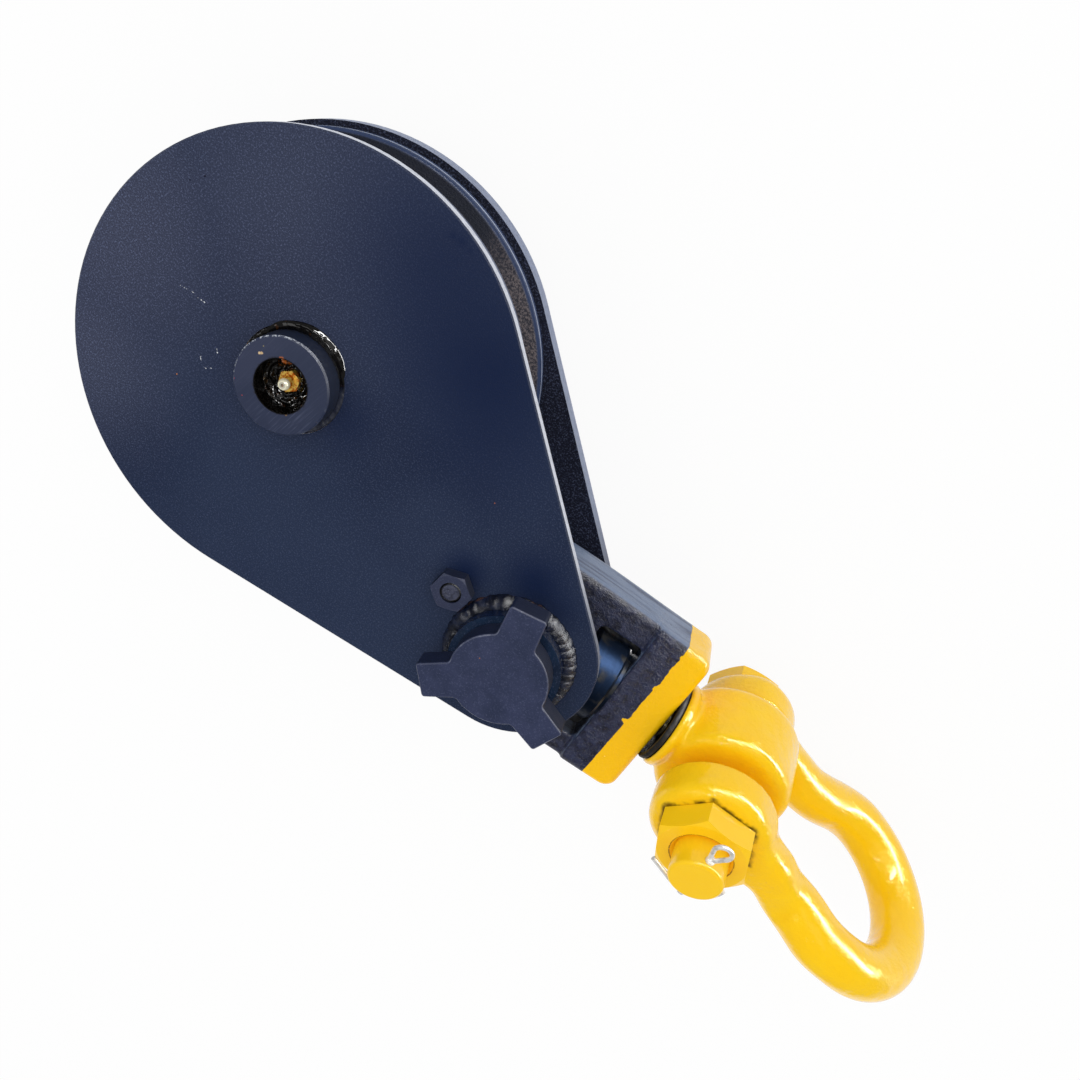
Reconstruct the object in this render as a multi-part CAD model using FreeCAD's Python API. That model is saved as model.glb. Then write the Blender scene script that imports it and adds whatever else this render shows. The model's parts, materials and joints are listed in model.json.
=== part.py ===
import FreeCAD, Part
import math
import os

# Snatch block for a wire rope, lying on its fixed side plate, in millimetres.
# Origin: centre of the sheave. +Z: along the sheave's axis, out through the side plate
# that opens. +X: along the block, from the centre pin to the trunnion and the shackle.

V = FreeCAD.Vector

# General clearances
RUNNING_FIT = 0.06        # radial gap of a shaft that turns in a bore
SEAT_FIT = 0.05           # radial gap of pieces that stay together
FACE_GAP = 0.25           # gap between flat faces that slide on each other

# Sheave
SHEAVE_R = 127.0
SHEAVE_WIDTH = 54.0
ROPE_R = 12.7
GROOVE_CLEARANCE = 0.8    # groove radius over the rope's
GROOVE_DEPTH = 32.0
GROOVE_FLARE_DEG = 17.5   # slope of the groove's walls
RIM_ROUND = 3.0
RIM_UNDER = 14.0          # metal left below the groove
WEB_THICKNESS = 20.0
HUB_R = 46.0
BUSHING_WALL = 6.5

# Side plates
PLATE_GAP = 59.4          # between the plates' inner faces
OPENING_PLATE_THICKNESS = 6.4
FIXED_PLATE_THICKNESS = 12.7
PLATE_OVERHANG = 3.0      # past the sheave's rim
PLATE_TAIL_R = 52.5       # round the trunnion
SHEAVE_TO_TRUNNION = 71.0  # sheave's rim to the trunnion's axis
PLATE_EDGE_BREAK = 0.8

# Centre pin
PIN_R = 27.4
PIN_STANDS_PROUD = 14.0
PIN_HOLE_PLAY = 3.2       # the opening plate lifts off over the pin through this
PIN_EDGE_BREAK = 1.0
PIN_HEAD_R = 36.0
PIN_HEAD_HEIGHT = 12.0
PIN_FLAT_DISTANCE = 28.0
COUNTERBORE_R = 15.1
COUNTERBORE_DEPTH = 16.0
GREASE_BORE_R = 3.0
THRUST_WASHER_R = 44.0

# Grease fitting
FITTING_HEX_AF = 11.1
FITTING_HEX_HEIGHT = 5.5
FITTING_SHANK_LENGTH = 7.0
FITTING_CONE_HEIGHT = 3.6
FITTING_CONE_R = 3.7
FITTING_NECK_R = 2.4
FITTING_HEAD_R = 3.3
FITTING_HEAD_TOP = 2.5    # flat end above the ball's middle
FITTING_INLET_R = 0.9

# Keeper of the centre pin
KEEPER_LENGTH = 78.0
KEEPER_WIDTH = 18.0
KEEPER_THICKNESS = 8.0
KEEPER_CORNER = 3.0
KEEPER_BOLT_SPACING = 52.0
KEEPER_BOLT_R = 5.0
KEEPER_BOLT_AF = 17.0
KEEPER_BOLT_HEAD = 6.4
KEEPER_BOLT_BITE = 10.5   # depth in the fixed plate
KEEPER_HOLE_EXTRA = 0.5   # the tapped hole goes deeper than the bolt

# Trunnion and the hubs that are welded round it
TRUNNION_R = 22.6
TRUNNION_SPIGOT = 8.0     # reach past the opening plate's outer face
HUB_RING_R = 33.5
OPENING_HUB_HEIGHT = 14.0
FIXED_HUB_HEIGHT = 12.0
HUB_LEDGE = 5.7           # thickness of the opening hub's inner ledge
WELD_LEG = 7.0
WELD_BULGE = 1.2
WASHER_R = 33.0
WASHER_THICKNESS = 10.95

# Three-lobed pin that screws into the trunnion
LUG_GAP = 0.3
LUG_THICKNESS = 13.2
LUG_BODY_R = 29.1
LUG_TIP_R = 47.0
LUG_TIP_WIDTH = 22.0
LUG_ROOT_WIDTH = 25.0
LUG_COUNT = 3
LUG_CORNER = 2.0
LUG_ROOT_ROUND = 3.0
LUG_EDGE_ROUND = 1.2
LUG_SHANK_R = 15.0
LUG_SHANK_LENGTH = 38.0
LUG_SHANK_BREAK = 2.0

# Retaining bolt beside the hub
RETAINER_TO_WELD = 11.9   # hub weld's toe to the bolt's axis
RETAINER_R = 6.35
RETAINER_AF = 21.5
RETAINER_HEAD_HEIGHT = 8.0
RETAINER_NUT_HEIGHT = 8.1
RETAINER_END_SHORT = 0.5  # the bolt's end below the nut's face
RETAINER_TURN_DEG = 40.0

# Yoke that turns on the trunnion
YOKE_TILT_DEG = 21.2
YOKE_THICKNESS = 34.0
YOKE_STEP = 3.0           # the arms' upper face lies this much below the base's
YOKE_BOSS_R = 36.0
YOKE_HALF_WIDTH = 57.0
YOKE_LENGTH = 103.0       # trunnion axis to the end face
YOKE_ARM = 18.0
YOKE_BIGHT = 36.0         # trunnion axis to the window
YOKE_CORNER = 9.0
YOKE_EDGE_ROUND = 4.5
WINDOW_CORNER = 4.0
YOKE_BUSHING_WALL = 4.4

# Swivel
SWIVEL_TURN_DEG = 14.0
SWIVEL_SHANK_R = 12.5
SWIVEL_GAP = 3.5          # yoke's end face to the swivel's collar
SWIVEL_COLLAR_R = 29.0
SWIVEL_COLLAR_LENGTH = 5.0
SWIVEL_COLLAR_BREAK = 1.5
SWIVEL_NECK_STEP = 0.4    # the eye's flat faces stand out past the neck
EYE_DISTANCE = 151.5      # trunnion axis to the shackle bolt
EYE_R = 42.0
EYE_HALF_WIDTH = 25.0
EYE_ROUND = 8.0
SWIVEL_WASHER_R = 22.0
SWIVEL_WASHER_THICKNESS = 3.0
SWIVEL_NUT_R = 27.5
SWIVEL_NUT_HEIGHT = 22.0
SWIVEL_NUT_BREAK = 1.5
NUT_HEADROOM = 4.0        # window's near wall to the nut
SWIVEL_END_SHORT = 1.5    # shank end to the window's far wall
SWIVEL_END_BREAK = 1.0
NUT_PIN_R = 2.5
NUT_PIN_DISTANCE = 7.5    # from the nut's free face

# Shackle
SHACKLE_SWING_DEG = 14.3
BOLT_R = 16.0
BOLT_PLAY = 0.35
EAR_GAP = 61.0            # between the ears; the bow slides along the bolt in it
EAR_THICKNESS = 25.0
EAR_R = 36.5
EAR_ROUND = 9.0
EAR_INNER_ROUND = 1.5
BAR_R = 17.0
CROWN_R = 54.5            # crown's mid-line radius
CROWN_DISTANCE = 115.5    # bolt axis to the crown's centre
SHOULDER_R = 75.0         # mid-line radius where a leg turns outwards
FLARE_R = 26.0            # where a leg runs into its ear
FLARE_LENGTH = 40.0
FLARE_WAIST_R = 19.7
FLARE_WAIST_DISTANCE = 18.0
BOLT_HEAD_AF = 45.0
BOLT_HEAD_HEIGHT = 11.5
NUT_AF = 52.0
NUT_HEIGHT = 15.5
NUT_SEAT_GAP = 0.3
NUT_SINK = 2.6            # countersink round the bolt
NUT_TURN_DEG = 11.0
BOLT_HEAD_TURN_DEG = 18.0
HEX_CHAMFER_DEG = 28.0
BOLT_END_PROUD = 17.0     # past the nut
BOLT_END_ROUND = 2.0

# Cotter pin
COTTER_DISTANCE = 12.0    # past the nut's outer face
COTTER_R = 2.8
COTTER_WIRE_R = 1.4
COTTER_EYE_R = 5.0        # mid-line of the eye's round end
COTTER_EYE_REACH = 11.2   # from the bolt's surface to the middle of the eye
COTTER_EYE_LEAN_DEG = 13.0  # the eye leans over in its own plane
COTTER_TURN_DEG = 20.0
COTTER_LEG_GAP = 0.3      # wires clear of the bolt's surface
COTTER_WRAP_DEG = 85.0    # leg that is bent right round the bolt
COTTER_BEND_DEG = 31.0    # leg that is bent off and runs on straight
COTTER_LEG = 18.0

# Places worked out from the sizes
PLATE_HEAD_R = SHEAVE_R + PLATE_OVERHANG
PIN_TO_TRUNNION = SHEAVE_R + SHEAVE_TO_TRUNNION
OPENING_INNER = PLATE_GAP / 2
OPENING_OUTER = OPENING_INNER + OPENING_PLATE_THICKNESS
FIXED_INNER = -PLATE_GAP / 2
FIXED_OUTER = FIXED_INNER - FIXED_PLATE_THICKNESS
BOSS_TOP = OPENING_OUTER + PIN_STANDS_PROUD
COUNTERBORE_FLOOR = BOSS_TOP - COUNTERBORE_DEPTH
FIXED_HUB_END = FIXED_OUTER - FIXED_HUB_HEIGHT
OPENING_HUB_TOP = OPENING_OUTER + OPENING_HUB_HEIGHT
TRUNNION_TOP = OPENING_OUTER + TRUNNION_SPIGOT
LUG_UNDER = OPENING_HUB_TOP + LUG_GAP
LUG_TOP = LUG_UNDER + LUG_THICKNESS
SEAT_LEVEL = FIXED_INNER + WASHER_THICKNESS
YOKE_MID = SEAT_LEVEL + FACE_GAP + YOKE_THICKNESS / 2
YOKE_TOP = YOKE_MID + YOKE_THICKNESS / 2
GROOVE_R = ROPE_R + GROOVE_CLEARANCE
GROOVE_BOTTOM = SHEAVE_R - GROOVE_DEPTH
RETAINER_X = PIN_TO_TRUNNION - HUB_RING_R - WELD_LEG - RETAINER_TO_WELD
RETAINER_NUT_FACE = OPENING_OUTER + RETAINER_NUT_HEIGHT
EAR_INNER = EAR_GAP / 2
EAR_OUTER = EAR_INNER + EAR_THICKNESS
EAR_MIDDLE = (EAR_INNER + EAR_OUTER) / 2
BOW_SHIFT = EAR_INNER - EYE_HALF_WIDTH - FACE_GAP
NUT_SEAT = EAR_OUTER + NUT_SEAT_GAP
NUT_FACE = NUT_SEAT + NUT_HEIGHT
COTTER_LEVEL = NUT_FACE + COTTER_DISTANCE
COTTER_WIRE_LINE = BOLT_R + COTTER_LEG_GAP + COTTER_WIRE_R
BASE_FACE = YOKE_BIGHT + NUT_HEADROOM + SWIVEL_NUT_HEIGHT + SWIVEL_WASHER_THICKNESS
COLLAR_FACE = YOKE_LENGTH + SWIVEL_GAP
SWIVEL_NUT_BACK = BASE_FACE - SWIVEL_WASHER_THICKNESS
SWIVEL_NUT_FRONT = SWIVEL_NUT_BACK - SWIVEL_NUT_HEIGHT
NECK_R = EYE_HALF_WIDTH - SWIVEL_NECK_STEP

# Frames of the pieces past the trunnion
YOKE_PLACE = FreeCAD.Placement(
    V(PIN_TO_TRUNNION, 0, YOKE_MID), FreeCAD.Rotation(V(0, 0, 1), YOKE_TILT_DEG))
SWIVEL_PLACE = YOKE_PLACE * FreeCAD.Placement(
    V(0, 0, 0), FreeCAD.Rotation(V(1, 0, 0), SWIVEL_TURN_DEG))
SHACKLE_PLACE = SWIVEL_PLACE * FreeCAD.Placement(
    V(EYE_DISTANCE, 0, BOW_SHIFT), FreeCAD.Rotation(V(0, 0, 1), -SHACKLE_SWING_DEG))


def rod(radius, low, high, x=0.0, y=0.0):
    """Cylinder along Z between two levels."""
    return Part.makeCylinder(radius, high - low, V(x, y, low))


def tube(outer, inner, low, high, x=0.0, y=0.0):
    """Ring along Z between two levels."""
    return rod(outer, low, high, x, y).cut(rod(inner, low - 1, high + 1, x, y))


def rod_along_x(radius, low, high):
    """Cylinder about the X axis."""
    return Part.makeCylinder(radius, high - low, V(low, 0, 0), V(1, 0, 0))


def polygon(points):
    """Closed flat wire through the points."""
    return Part.makePolygon(points + [points[0]])


def turned(points):
    """Solid of revolution about Z of a closed outline given as (radius, level)."""
    face = Part.Face(polygon([V(r, 0, z) for r, z in points]))
    return face.revolve(V(0, 0, 0), V(0, 0, 1), 360)


def turned_edges(edges):
    """Solid of revolution about Z of a closed chain of edges in the XZ plane."""
    return Part.Face(Part.Wire(edges)).revolve(V(0, 0, 0), V(0, 0, 1), 360)


def hexagon(across_flats, low, high, x=0.0, y=0.0, turn_deg=0.0):
    """Hexagonal prism along Z."""
    corner = across_flats / 2 / math.cos(math.pi / 6)
    angles = [math.radians(turn_deg + 60 * i) for i in range(6)]
    points = [V(x + corner * math.cos(a), y + corner * math.sin(a), low) for a in angles]
    return Part.Face(polygon(points)).extrude(V(0, 0, high - low))


def chamfered_hexagon(across_flats, low, high, turn_deg=0.0):
    """Hexagonal prism whose corners are turned down to a cone at the top."""
    corner = across_flats / 2 / math.cos(math.pi / 6)
    land = across_flats / 2
    drop = (corner - land) * math.tan(math.radians(HEX_CHAMFER_DEG))
    cone = turned([(0, low), (corner, low), (corner, high - drop), (land, high), (0, high)])
    return hexagon(across_flats, low, high, turn_deg=turn_deg).common(cone)


def edges_on_level(shape, level):
    """Edges that lie flat at one level."""
    found = []
    for edge in shape.Edges:
        box = edge.BoundBox
        if max(abs(box.ZMin - level), abs(box.ZMax - level)) < 1e-4:
            found.append(edge)
    return found


def edges_on_circle(shape, level, radius, x=0.0, y=0.0):
    """Round edges of one radius about (x, y) at one level."""
    found = []
    for edge in edges_on_level(shape, level):
        curve = edge.Curve
        if isinstance(curve, Part.Circle) and abs(curve.Radius - radius) < 1e-3:
            if math.hypot(curve.Center.x - x, curve.Center.y - y) < 1e-3:
                found.append(edge)
    return found


def pear_outline(level):
    """Outline of a side plate: two arcs joined by the lines that touch both."""
    angle = math.acos((PLATE_HEAD_R - PLATE_TAIL_R) / PIN_TO_TRUNNION)
    c, s = math.cos(angle), math.sin(angle)
    head_up = V(PLATE_HEAD_R * c, PLATE_HEAD_R * s, level)
    head_down = V(PLATE_HEAD_R * c, -PLATE_HEAD_R * s, level)
    tail_up = V(PIN_TO_TRUNNION + PLATE_TAIL_R * c, PLATE_TAIL_R * s, level)
    tail_down = V(PIN_TO_TRUNNION + PLATE_TAIL_R * c, -PLATE_TAIL_R * s, level)
    head = Part.Arc(head_up, V(-PLATE_HEAD_R, 0, level), head_down).toShape()
    tail = Part.Arc(tail_down, V(PIN_TO_TRUNNION + PLATE_TAIL_R, 0, level), tail_up).toShape()
    lines = [Part.makeLine(head_down, tail_down), Part.makeLine(tail_up, head_up)]
    return Part.Wire([head, lines[0], tail, lines[1]])


def side_plate(low, high, outer_face, pin_hole, trunnion_hole):
    """Pear-shaped plate with its two main holes and a broken edge on its outer face."""
    plate = Part.Face(pear_outline(low)).extrude(V(0, 0, high - low))
    plate = plate.makeChamfer(PLATE_EDGE_BREAK, edges_on_level(plate, outer_face))
    plate = plate.cut(rod(pin_hole, low - 1, high + 1))
    return plate.cut(rod(trunnion_hole, low - 1, high + 1, PIN_TO_TRUNNION))


def opening_side_plate():
    """Plate that lifts off over the centre pin and the trunnion."""
    plate = side_plate(OPENING_INNER, OPENING_OUTER, OPENING_OUTER,
                       PIN_R + PIN_HOLE_PLAY, TRUNNION_R + 2 * SEAT_FIT)
    return plate.cut(rod(RETAINER_R + SEAT_FIT, OPENING_INNER - 1, OPENING_OUTER + 1, RETAINER_X))


def fixed_side_plate():
    """Thicker plate that carries the centre pin, its keeper and the trunnion."""
    plate = side_plate(FIXED_OUTER, FIXED_INNER, FIXED_OUTER, PIN_R + SEAT_FIT, TRUNNION_R + SEAT_FIT)
    depth = FIXED_OUTER + KEEPER_BOLT_BITE + KEEPER_HOLE_EXTRA
    for y in keeper_bolt_places():
        plate = plate.cut(rod(KEEPER_BOLT_R + SEAT_FIT, FIXED_OUTER - 1, depth, keeper_middle(), y))
    return plate


def keeper_middle():
    """X of the keeper's middle line, beside the flat of the pin's head."""
    return -(PIN_FLAT_DISTANCE + SEAT_FIT + KEEPER_WIDTH / 2)


def keeper_bolt_places():
    """Y of each keeper bolt."""
    return (-KEEPER_BOLT_SPACING / 2, KEEPER_BOLT_SPACING / 2)


def centre_pin():
    """Pin with a flatted head, a counterbored boss and a drilled grease way."""
    pin = rod(PIN_R, FIXED_OUTER, BOSS_TOP)
    pin = pin.makeChamfer(PIN_EDGE_BREAK, edges_on_circle(pin, BOSS_TOP, PIN_R))
    head_end = FIXED_OUTER - PIN_HEAD_HEIGHT
    head = rod(PIN_HEAD_R, head_end, FIXED_OUTER)
    head = head.makeChamfer(PIN_EDGE_BREAK, edges_on_circle(head, head_end, PIN_HEAD_R))
    beyond_flat = Part.makeBox(PIN_HEAD_R, 2 * PIN_HEAD_R, PIN_HEAD_HEIGHT + 2,
                               V(-PIN_FLAT_DISTANCE - PIN_HEAD_R, -PIN_HEAD_R, head_end - 1))
    pin = pin.fuse(head.cut(beyond_flat))
    pin = pin.cut(rod(COUNTERBORE_R, COUNTERBORE_FLOOR, BOSS_TOP + 1))
    pin = pin.cut(rod(GREASE_BORE_R, 0, COUNTERBORE_FLOOR + 1))
    cross = Part.makeCylinder(GREASE_BORE_R, PIN_R + 1, V(0, 0, GREASE_BORE_R), V(1, 0, 0))
    return pin.cut(cross).removeSplitter()


def grease_fitting():
    """Hexagonal nipple with a ball head, screwed into the counterbore's floor."""
    floor = COUNTERBORE_FLOOR
    hex_top = floor + FITTING_HEX_HEIGHT
    cone_top = hex_top + FITTING_CONE_HEIGHT
    shank = rod(GREASE_BORE_R - SEAT_FIT, floor - FITTING_SHANK_LENGTH, floor)
    body = hexagon(FITTING_HEX_AF, floor, hex_top)
    cone = turned([(0, hex_top), (FITTING_CONE_R, hex_top), (FITTING_NECK_R, cone_top), (0, cone_top)])
    ball_middle = cone_top + math.sqrt(FITTING_HEAD_R ** 2 - FITTING_NECK_R ** 2)
    head = Part.makeSphere(FITTING_HEAD_R, V(0, 0, ball_middle))
    head = head.common(rod(FITTING_HEAD_R, cone_top, ball_middle + FITTING_HEAD_TOP))
    fitting = shank.fuse([body, cone, head])
    return fitting.cut(rod(FITTING_INLET_R, hex_top, ball_middle + FITTING_HEAD_R)).removeSplitter()


def pin_keeper():
    """Bar bolted to the fixed plate along the flat of the pin's head."""
    low = FIXED_OUTER - KEEPER_THICKNESS
    bar = Part.makeBox(KEEPER_WIDTH, KEEPER_LENGTH, KEEPER_THICKNESS,
                       V(keeper_middle() - KEEPER_WIDTH / 2, -KEEPER_LENGTH / 2, low))
    upright = [e for e in bar.Edges if e.BoundBox.ZLength > KEEPER_THICKNESS / 2]
    bar = bar.makeFillet(KEEPER_CORNER, upright)
    for y in keeper_bolt_places():
        bar = bar.cut(rod(KEEPER_BOLT_R + SEAT_FIT, low - 1, FIXED_OUTER + 1, keeper_middle(), y))
    return bar


def keeper_bolts():
    """Two hexagon bolts that hold the keeper."""
    seat = FIXED_OUTER - KEEPER_THICKNESS
    bolts = []
    for y in keeper_bolt_places():
        head = hexagon(KEEPER_BOLT_AF, seat - KEEPER_BOLT_HEAD, seat, keeper_middle(), y)
        shank = rod(KEEPER_BOLT_R, seat, FIXED_OUTER + KEEPER_BOLT_BITE, keeper_middle(), y)
        bolts.append(head.fuse(shank).removeSplitter())
    return Part.makeCompound(bolts)


def sheave():
    """Wheel turned from one outline: rope groove, rim, web and hub."""
    flare = math.radians(GROOVE_FLARE_DEG)
    centre = GROOVE_BOTTOM + GROOVE_R
    tangent_z = GROOVE_R * math.cos(flare)
    tangent_r = centre + GROOVE_R * math.sin(flare)
    lip_z = tangent_z + (SHEAVE_R - tangent_r) * math.tan(flare)
    half = SHEAVE_WIDTH / 2
    under = GROOVE_BOTTOM - RIM_UNDER
    web = WEB_THICKNESS / 2
    bore = PIN_R + RUNNING_FIT + BUSHING_WALL + SEAT_FIT
    groove = Part.Arc(V(tangent_r, 0, tangent_z), V(GROOVE_BOTTOM, 0, 0),
                      V(tangent_r, 0, -tangent_z)).toShape()
    corners = [
        (tangent_r, -tangent_z), (SHEAVE_R, -lip_z), (SHEAVE_R, -half), (under, -half), (under - web, -web),
        (HUB_R + web, -web), (HUB_R, -half), (bore, -half), (bore, half), (HUB_R, half), (HUB_R + web, web),
        (under - web, web), (under, half), (SHEAVE_R, half), (SHEAVE_R, lip_z), (tangent_r, tangent_z)]
    sides = [Part.makeLine(V(a[0], 0, a[1]), V(b[0], 0, b[1])) for a, b in zip(corners, corners[1:])]
    wheel = turned_edges([groove] + sides)
    lips = []
    for level in (-half, half):
        lips += edges_on_circle(wheel, level, SHEAVE_R)
    return wheel.makeFillet(RIM_ROUND, lips)


def sheave_bushing():
    """Bronze bushing that turns on the centre pin."""
    inner = PIN_R + RUNNING_FIT
    return tube(inner + BUSHING_WALL, inner, -SHEAVE_WIDTH / 2, SHEAVE_WIDTH / 2)


def thrust_washer(side):
    """Washer between the sheave's hub and a side plate; side is +1 or -1."""
    sheave_face = SHEAVE_WIDTH / 2 + SEAT_FIT
    low, high = sorted((side * sheave_face, side * (PLATE_GAP / 2 - FACE_GAP)))
    return tube(THRUST_WASHER_R, PIN_R + SEAT_FIT, low, high)


def weld_bead(level, side):
    """Convex fillet weld round a hub on the face at this level; side is the way it rises."""
    foot = V(HUB_RING_R, 0, level)
    toe = V(HUB_RING_R + WELD_LEG, 0, level)
    top = V(HUB_RING_R, 0, level + side * WELD_LEG)
    middle = V(HUB_RING_R + WELD_LEG / 2 + WELD_BULGE, 0, level + side * (WELD_LEG / 2 + WELD_BULGE))
    edges = [Part.makeLine(foot, toe), Part.Arc(toe, middle, top).toShape(), Part.makeLine(top, foot)]
    bead = turned_edges(edges)
    bead.translate(V(PIN_TO_TRUNNION, 0, 0))
    return bead


def fixed_hub():
    """Ring welded on the fixed plate round the trunnion's end."""
    return tube(HUB_RING_R, TRUNNION_R + SEAT_FIT, FIXED_HUB_END, FIXED_OUTER, PIN_TO_TRUNNION)


def opening_hub():
    """Ring welded on the opening plate: it drops over the trunnion onto a ledge."""
    seat = TRUNNION_R + 2 * SEAT_FIT
    ring = tube(HUB_RING_R, LUG_SHANK_R + 2 * RUNNING_FIT, OPENING_OUTER, OPENING_HUB_TOP, PIN_TO_TRUNNION)
    return ring.cut(rod(seat, OPENING_OUTER - 1, OPENING_HUB_TOP - HUB_LEDGE, PIN_TO_TRUNNION))


def trunnion():
    """Hollow pin between the plates that the yoke turns on and the lug pin screws into."""
    pin = rod(TRUNNION_R, FIXED_HUB_END, TRUNNION_TOP, PIN_TO_TRUNNION)
    pin = pin.makeChamfer(PIN_EDGE_BREAK, edges_on_circle(pin, TRUNNION_TOP, TRUNNION_R, PIN_TO_TRUNNION))
    depth = LUG_UNDER - LUG_SHANK_LENGTH - 2 * LUG_SHANK_BREAK
    return pin.cut(rod(LUG_SHANK_R + RUNNING_FIT, depth, TRUNNION_TOP + 1, PIN_TO_TRUNNION))


def yoke_washer(level):
    """Spacer on the trunnion whose lower face is at this level."""
    return tube(WASHER_R, TRUNNION_R + 2 * SEAT_FIT, level, level + WASHER_THICKNESS, PIN_TO_TRUNNION)


def lug_root():
    """Corner (x, y) where a lobe's straight side meets the disc, for the lobe along +X."""
    lean = (LUG_ROOT_WIDTH - LUG_TIP_WIDTH) / 2 / LUG_TIP_R
    start = LUG_ROOT_WIDTH / 2
    square = 1 + lean ** 2
    x = (start * lean + math.sqrt(LUG_BODY_R ** 2 * square - start ** 2)) / square
    return x, start - lean * x


def lug_outline(level):
    """Face of the three-lobed head, drawn lobe by lobe: side, corner, tip, corner, side, disc."""
    root_x, root_y = lug_root()
    half = LUG_TIP_WIDTH / 2
    flat_x, flat_y = LUG_TIP_R - LUG_CORNER, half - LUG_CORNER
    bulge = LUG_CORNER * math.cos(math.pi / 4)
    step = 360 / LUG_COUNT
    edges = []
    for i in range(LUG_COUNT):
        def at(x, y, extra=0.0):
            turn = FreeCAD.Rotation(V(0, 0, 1), step * (i + extra))
            return turn.multVec(V(x, y, 0)) + V(0, 0, level)
        edges += [
            Part.makeLine(at(root_x, -root_y), at(flat_x, -half)),
            Part.Arc(at(flat_x, -half), at(flat_x + bulge, -flat_y - bulge),
                     at(LUG_TIP_R, -flat_y)).toShape(),
            Part.makeLine(at(LUG_TIP_R, -flat_y), at(LUG_TIP_R, flat_y)),
            Part.Arc(at(LUG_TIP_R, flat_y), at(flat_x + bulge, flat_y + bulge),
                     at(flat_x, half)).toShape(),
            Part.makeLine(at(flat_x, half), at(root_x, root_y)),
            Part.Arc(at(root_x, root_y), at(LUG_BODY_R, 0, 0.5), at(root_x, -root_y, 1)).toShape()]
    return Part.Face(Part.Wire(edges))


def lug_pin():
    """Pin with a three-lobed head that is struck round to screw it in or out."""
    head = lug_outline(LUG_UNDER).extrude(V(0, 0, LUG_THICKNESS))
    reach = math.hypot(*lug_root())
    roots = []
    for edge in head.Edges:
        middle = edge.BoundBox.Center
        upright = edge.BoundBox.ZLength > LUG_THICKNESS / 2
        if upright and abs(math.hypot(middle.x, middle.y) - reach) < 0.01:
            roots.append(edge)
    head = head.makeFillet(LUG_ROOT_ROUND, roots)
    head = head.makeFillet(LUG_EDGE_ROUND, edges_on_level(head, LUG_TOP))
    low = LUG_UNDER - LUG_SHANK_LENGTH
    shank = rod(LUG_SHANK_R, low, LUG_UNDER)
    shank = shank.makeChamfer(LUG_SHANK_BREAK, edges_on_circle(shank, low, LUG_SHANK_R))
    pin = head.fuse(shank).removeSplitter()
    pin.translate(V(PIN_TO_TRUNNION, 0, 0))
    return pin


def retaining_bolt():
    """Bolt through the opening plate, from its inner face to the nut's face."""
    end = RETAINER_NUT_FACE - RETAINER_END_SHORT
    shank = rod(RETAINER_R, OPENING_INNER, end, RETAINER_X)
    shank = shank.makeChamfer(PIN_EDGE_BREAK, edges_on_circle(shank, end, RETAINER_R, RETAINER_X))
    head = hexagon(RETAINER_AF, OPENING_INNER - RETAINER_HEAD_HEIGHT, OPENING_INNER, RETAINER_X)
    return shank.fuse(head).removeSplitter()


def retaining_nut():
    """Nut of the retaining bolt, on the opening plate's outer face."""
    nut = chamfered_hexagon(RETAINER_AF, OPENING_OUTER, RETAINER_NUT_FACE, RETAINER_TURN_DEG)
    nut.translate(V(RETAINER_X, 0, 0))
    return nut.cut(rod(RETAINER_R + SEAT_FIT, OPENING_OUTER - 1, RETAINER_NUT_FACE + 1, RETAINER_X))


def rounded_slab(outline, low, high, rim):
    """Flat body between two levels whose flat edges are rounded where rim says so."""
    slab = Part.Face(outline).extrude(V(0, 0, high - low))
    slab.translate(V(0, 0, low))
    ends = [e for e in slab.Edges if e.BoundBox.ZLength > 1 and e.BoundBox.XMin > YOKE_LENGTH - 1]
    slab = slab.makeFillet(YOKE_CORNER, ends)
    flat = [e for e in edges_on_level(slab, low) + edges_on_level(slab, high) if rim(e.BoundBox)]
    return slab.makeFillet(YOKE_EDGE_ROUND, flat)


def yoke():
    """Stirrup: a round bight on the trunnion, two arms and a thicker base for the swivel."""
    w = YOKE_HALF_WIDTH
    half = YOKE_THICKNESS / 2
    bight = Part.Arc(V(0, w, 0), V(-w, 0, 0), V(0, -w, 0)).toShape()
    corners = [V(0, -w, 0), V(YOKE_LENGTH, -w, 0), V(YOKE_LENGTH, w, 0), V(0, w, 0)]
    sides = [Part.makeLine(a, b) for a, b in zip(corners, corners[1:])]
    body = rounded_slab(Part.Wire([bight] + sides), -half, half - YOKE_STEP, lambda box: True)
    base = polygon([V(BASE_FACE, -w, 0), V(YOKE_LENGTH, -w, 0), V(YOKE_LENGTH, w, 0), V(BASE_FACE, w, 0)])
    body = body.fuse(rounded_slab(base, -half, half, lambda box: box.XMax > BASE_FACE + 1))
    body = body.fuse(rod(YOKE_BOSS_R, -half, half))
    window = Part.makeBox(BASE_FACE - YOKE_BIGHT, 2 * (w - YOKE_ARM), 2 * YOKE_THICKNESS,
                          V(YOKE_BIGHT, YOKE_ARM - w, -YOKE_THICKNESS))
    upright = [e for e in window.Edges if e.BoundBox.ZLength > YOKE_THICKNESS]
    body = body.cut(window.makeFillet(WINDOW_CORNER, upright))
    bore = TRUNNION_R + RUNNING_FIT + YOKE_BUSHING_WALL + SEAT_FIT
    body = body.cut(rod(bore, -YOKE_THICKNESS, YOKE_THICKNESS))
    body = body.cut(rod_along_x(SWIVEL_SHANK_R + RUNNING_FIT, BASE_FACE - 1, YOKE_LENGTH + 1))
    return body.removeSplitter()


def yoke_bushing():
    """Bronze bushing between the yoke and the trunnion."""
    inner = TRUNNION_R + RUNNING_FIT
    return tube(inner + YOKE_BUSHING_WALL, inner, -YOKE_THICKNESS / 2, YOKE_THICKNESS / 2)


def turned_about_x(points):
    """Solid of revolution about X of a closed outline given as (x, radius)."""
    face = Part.Face(polygon([V(x, r, 0) for x, r in points]))
    return face.revolve(V(0, 0, 0), V(1, 0, 0), 360)


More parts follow.
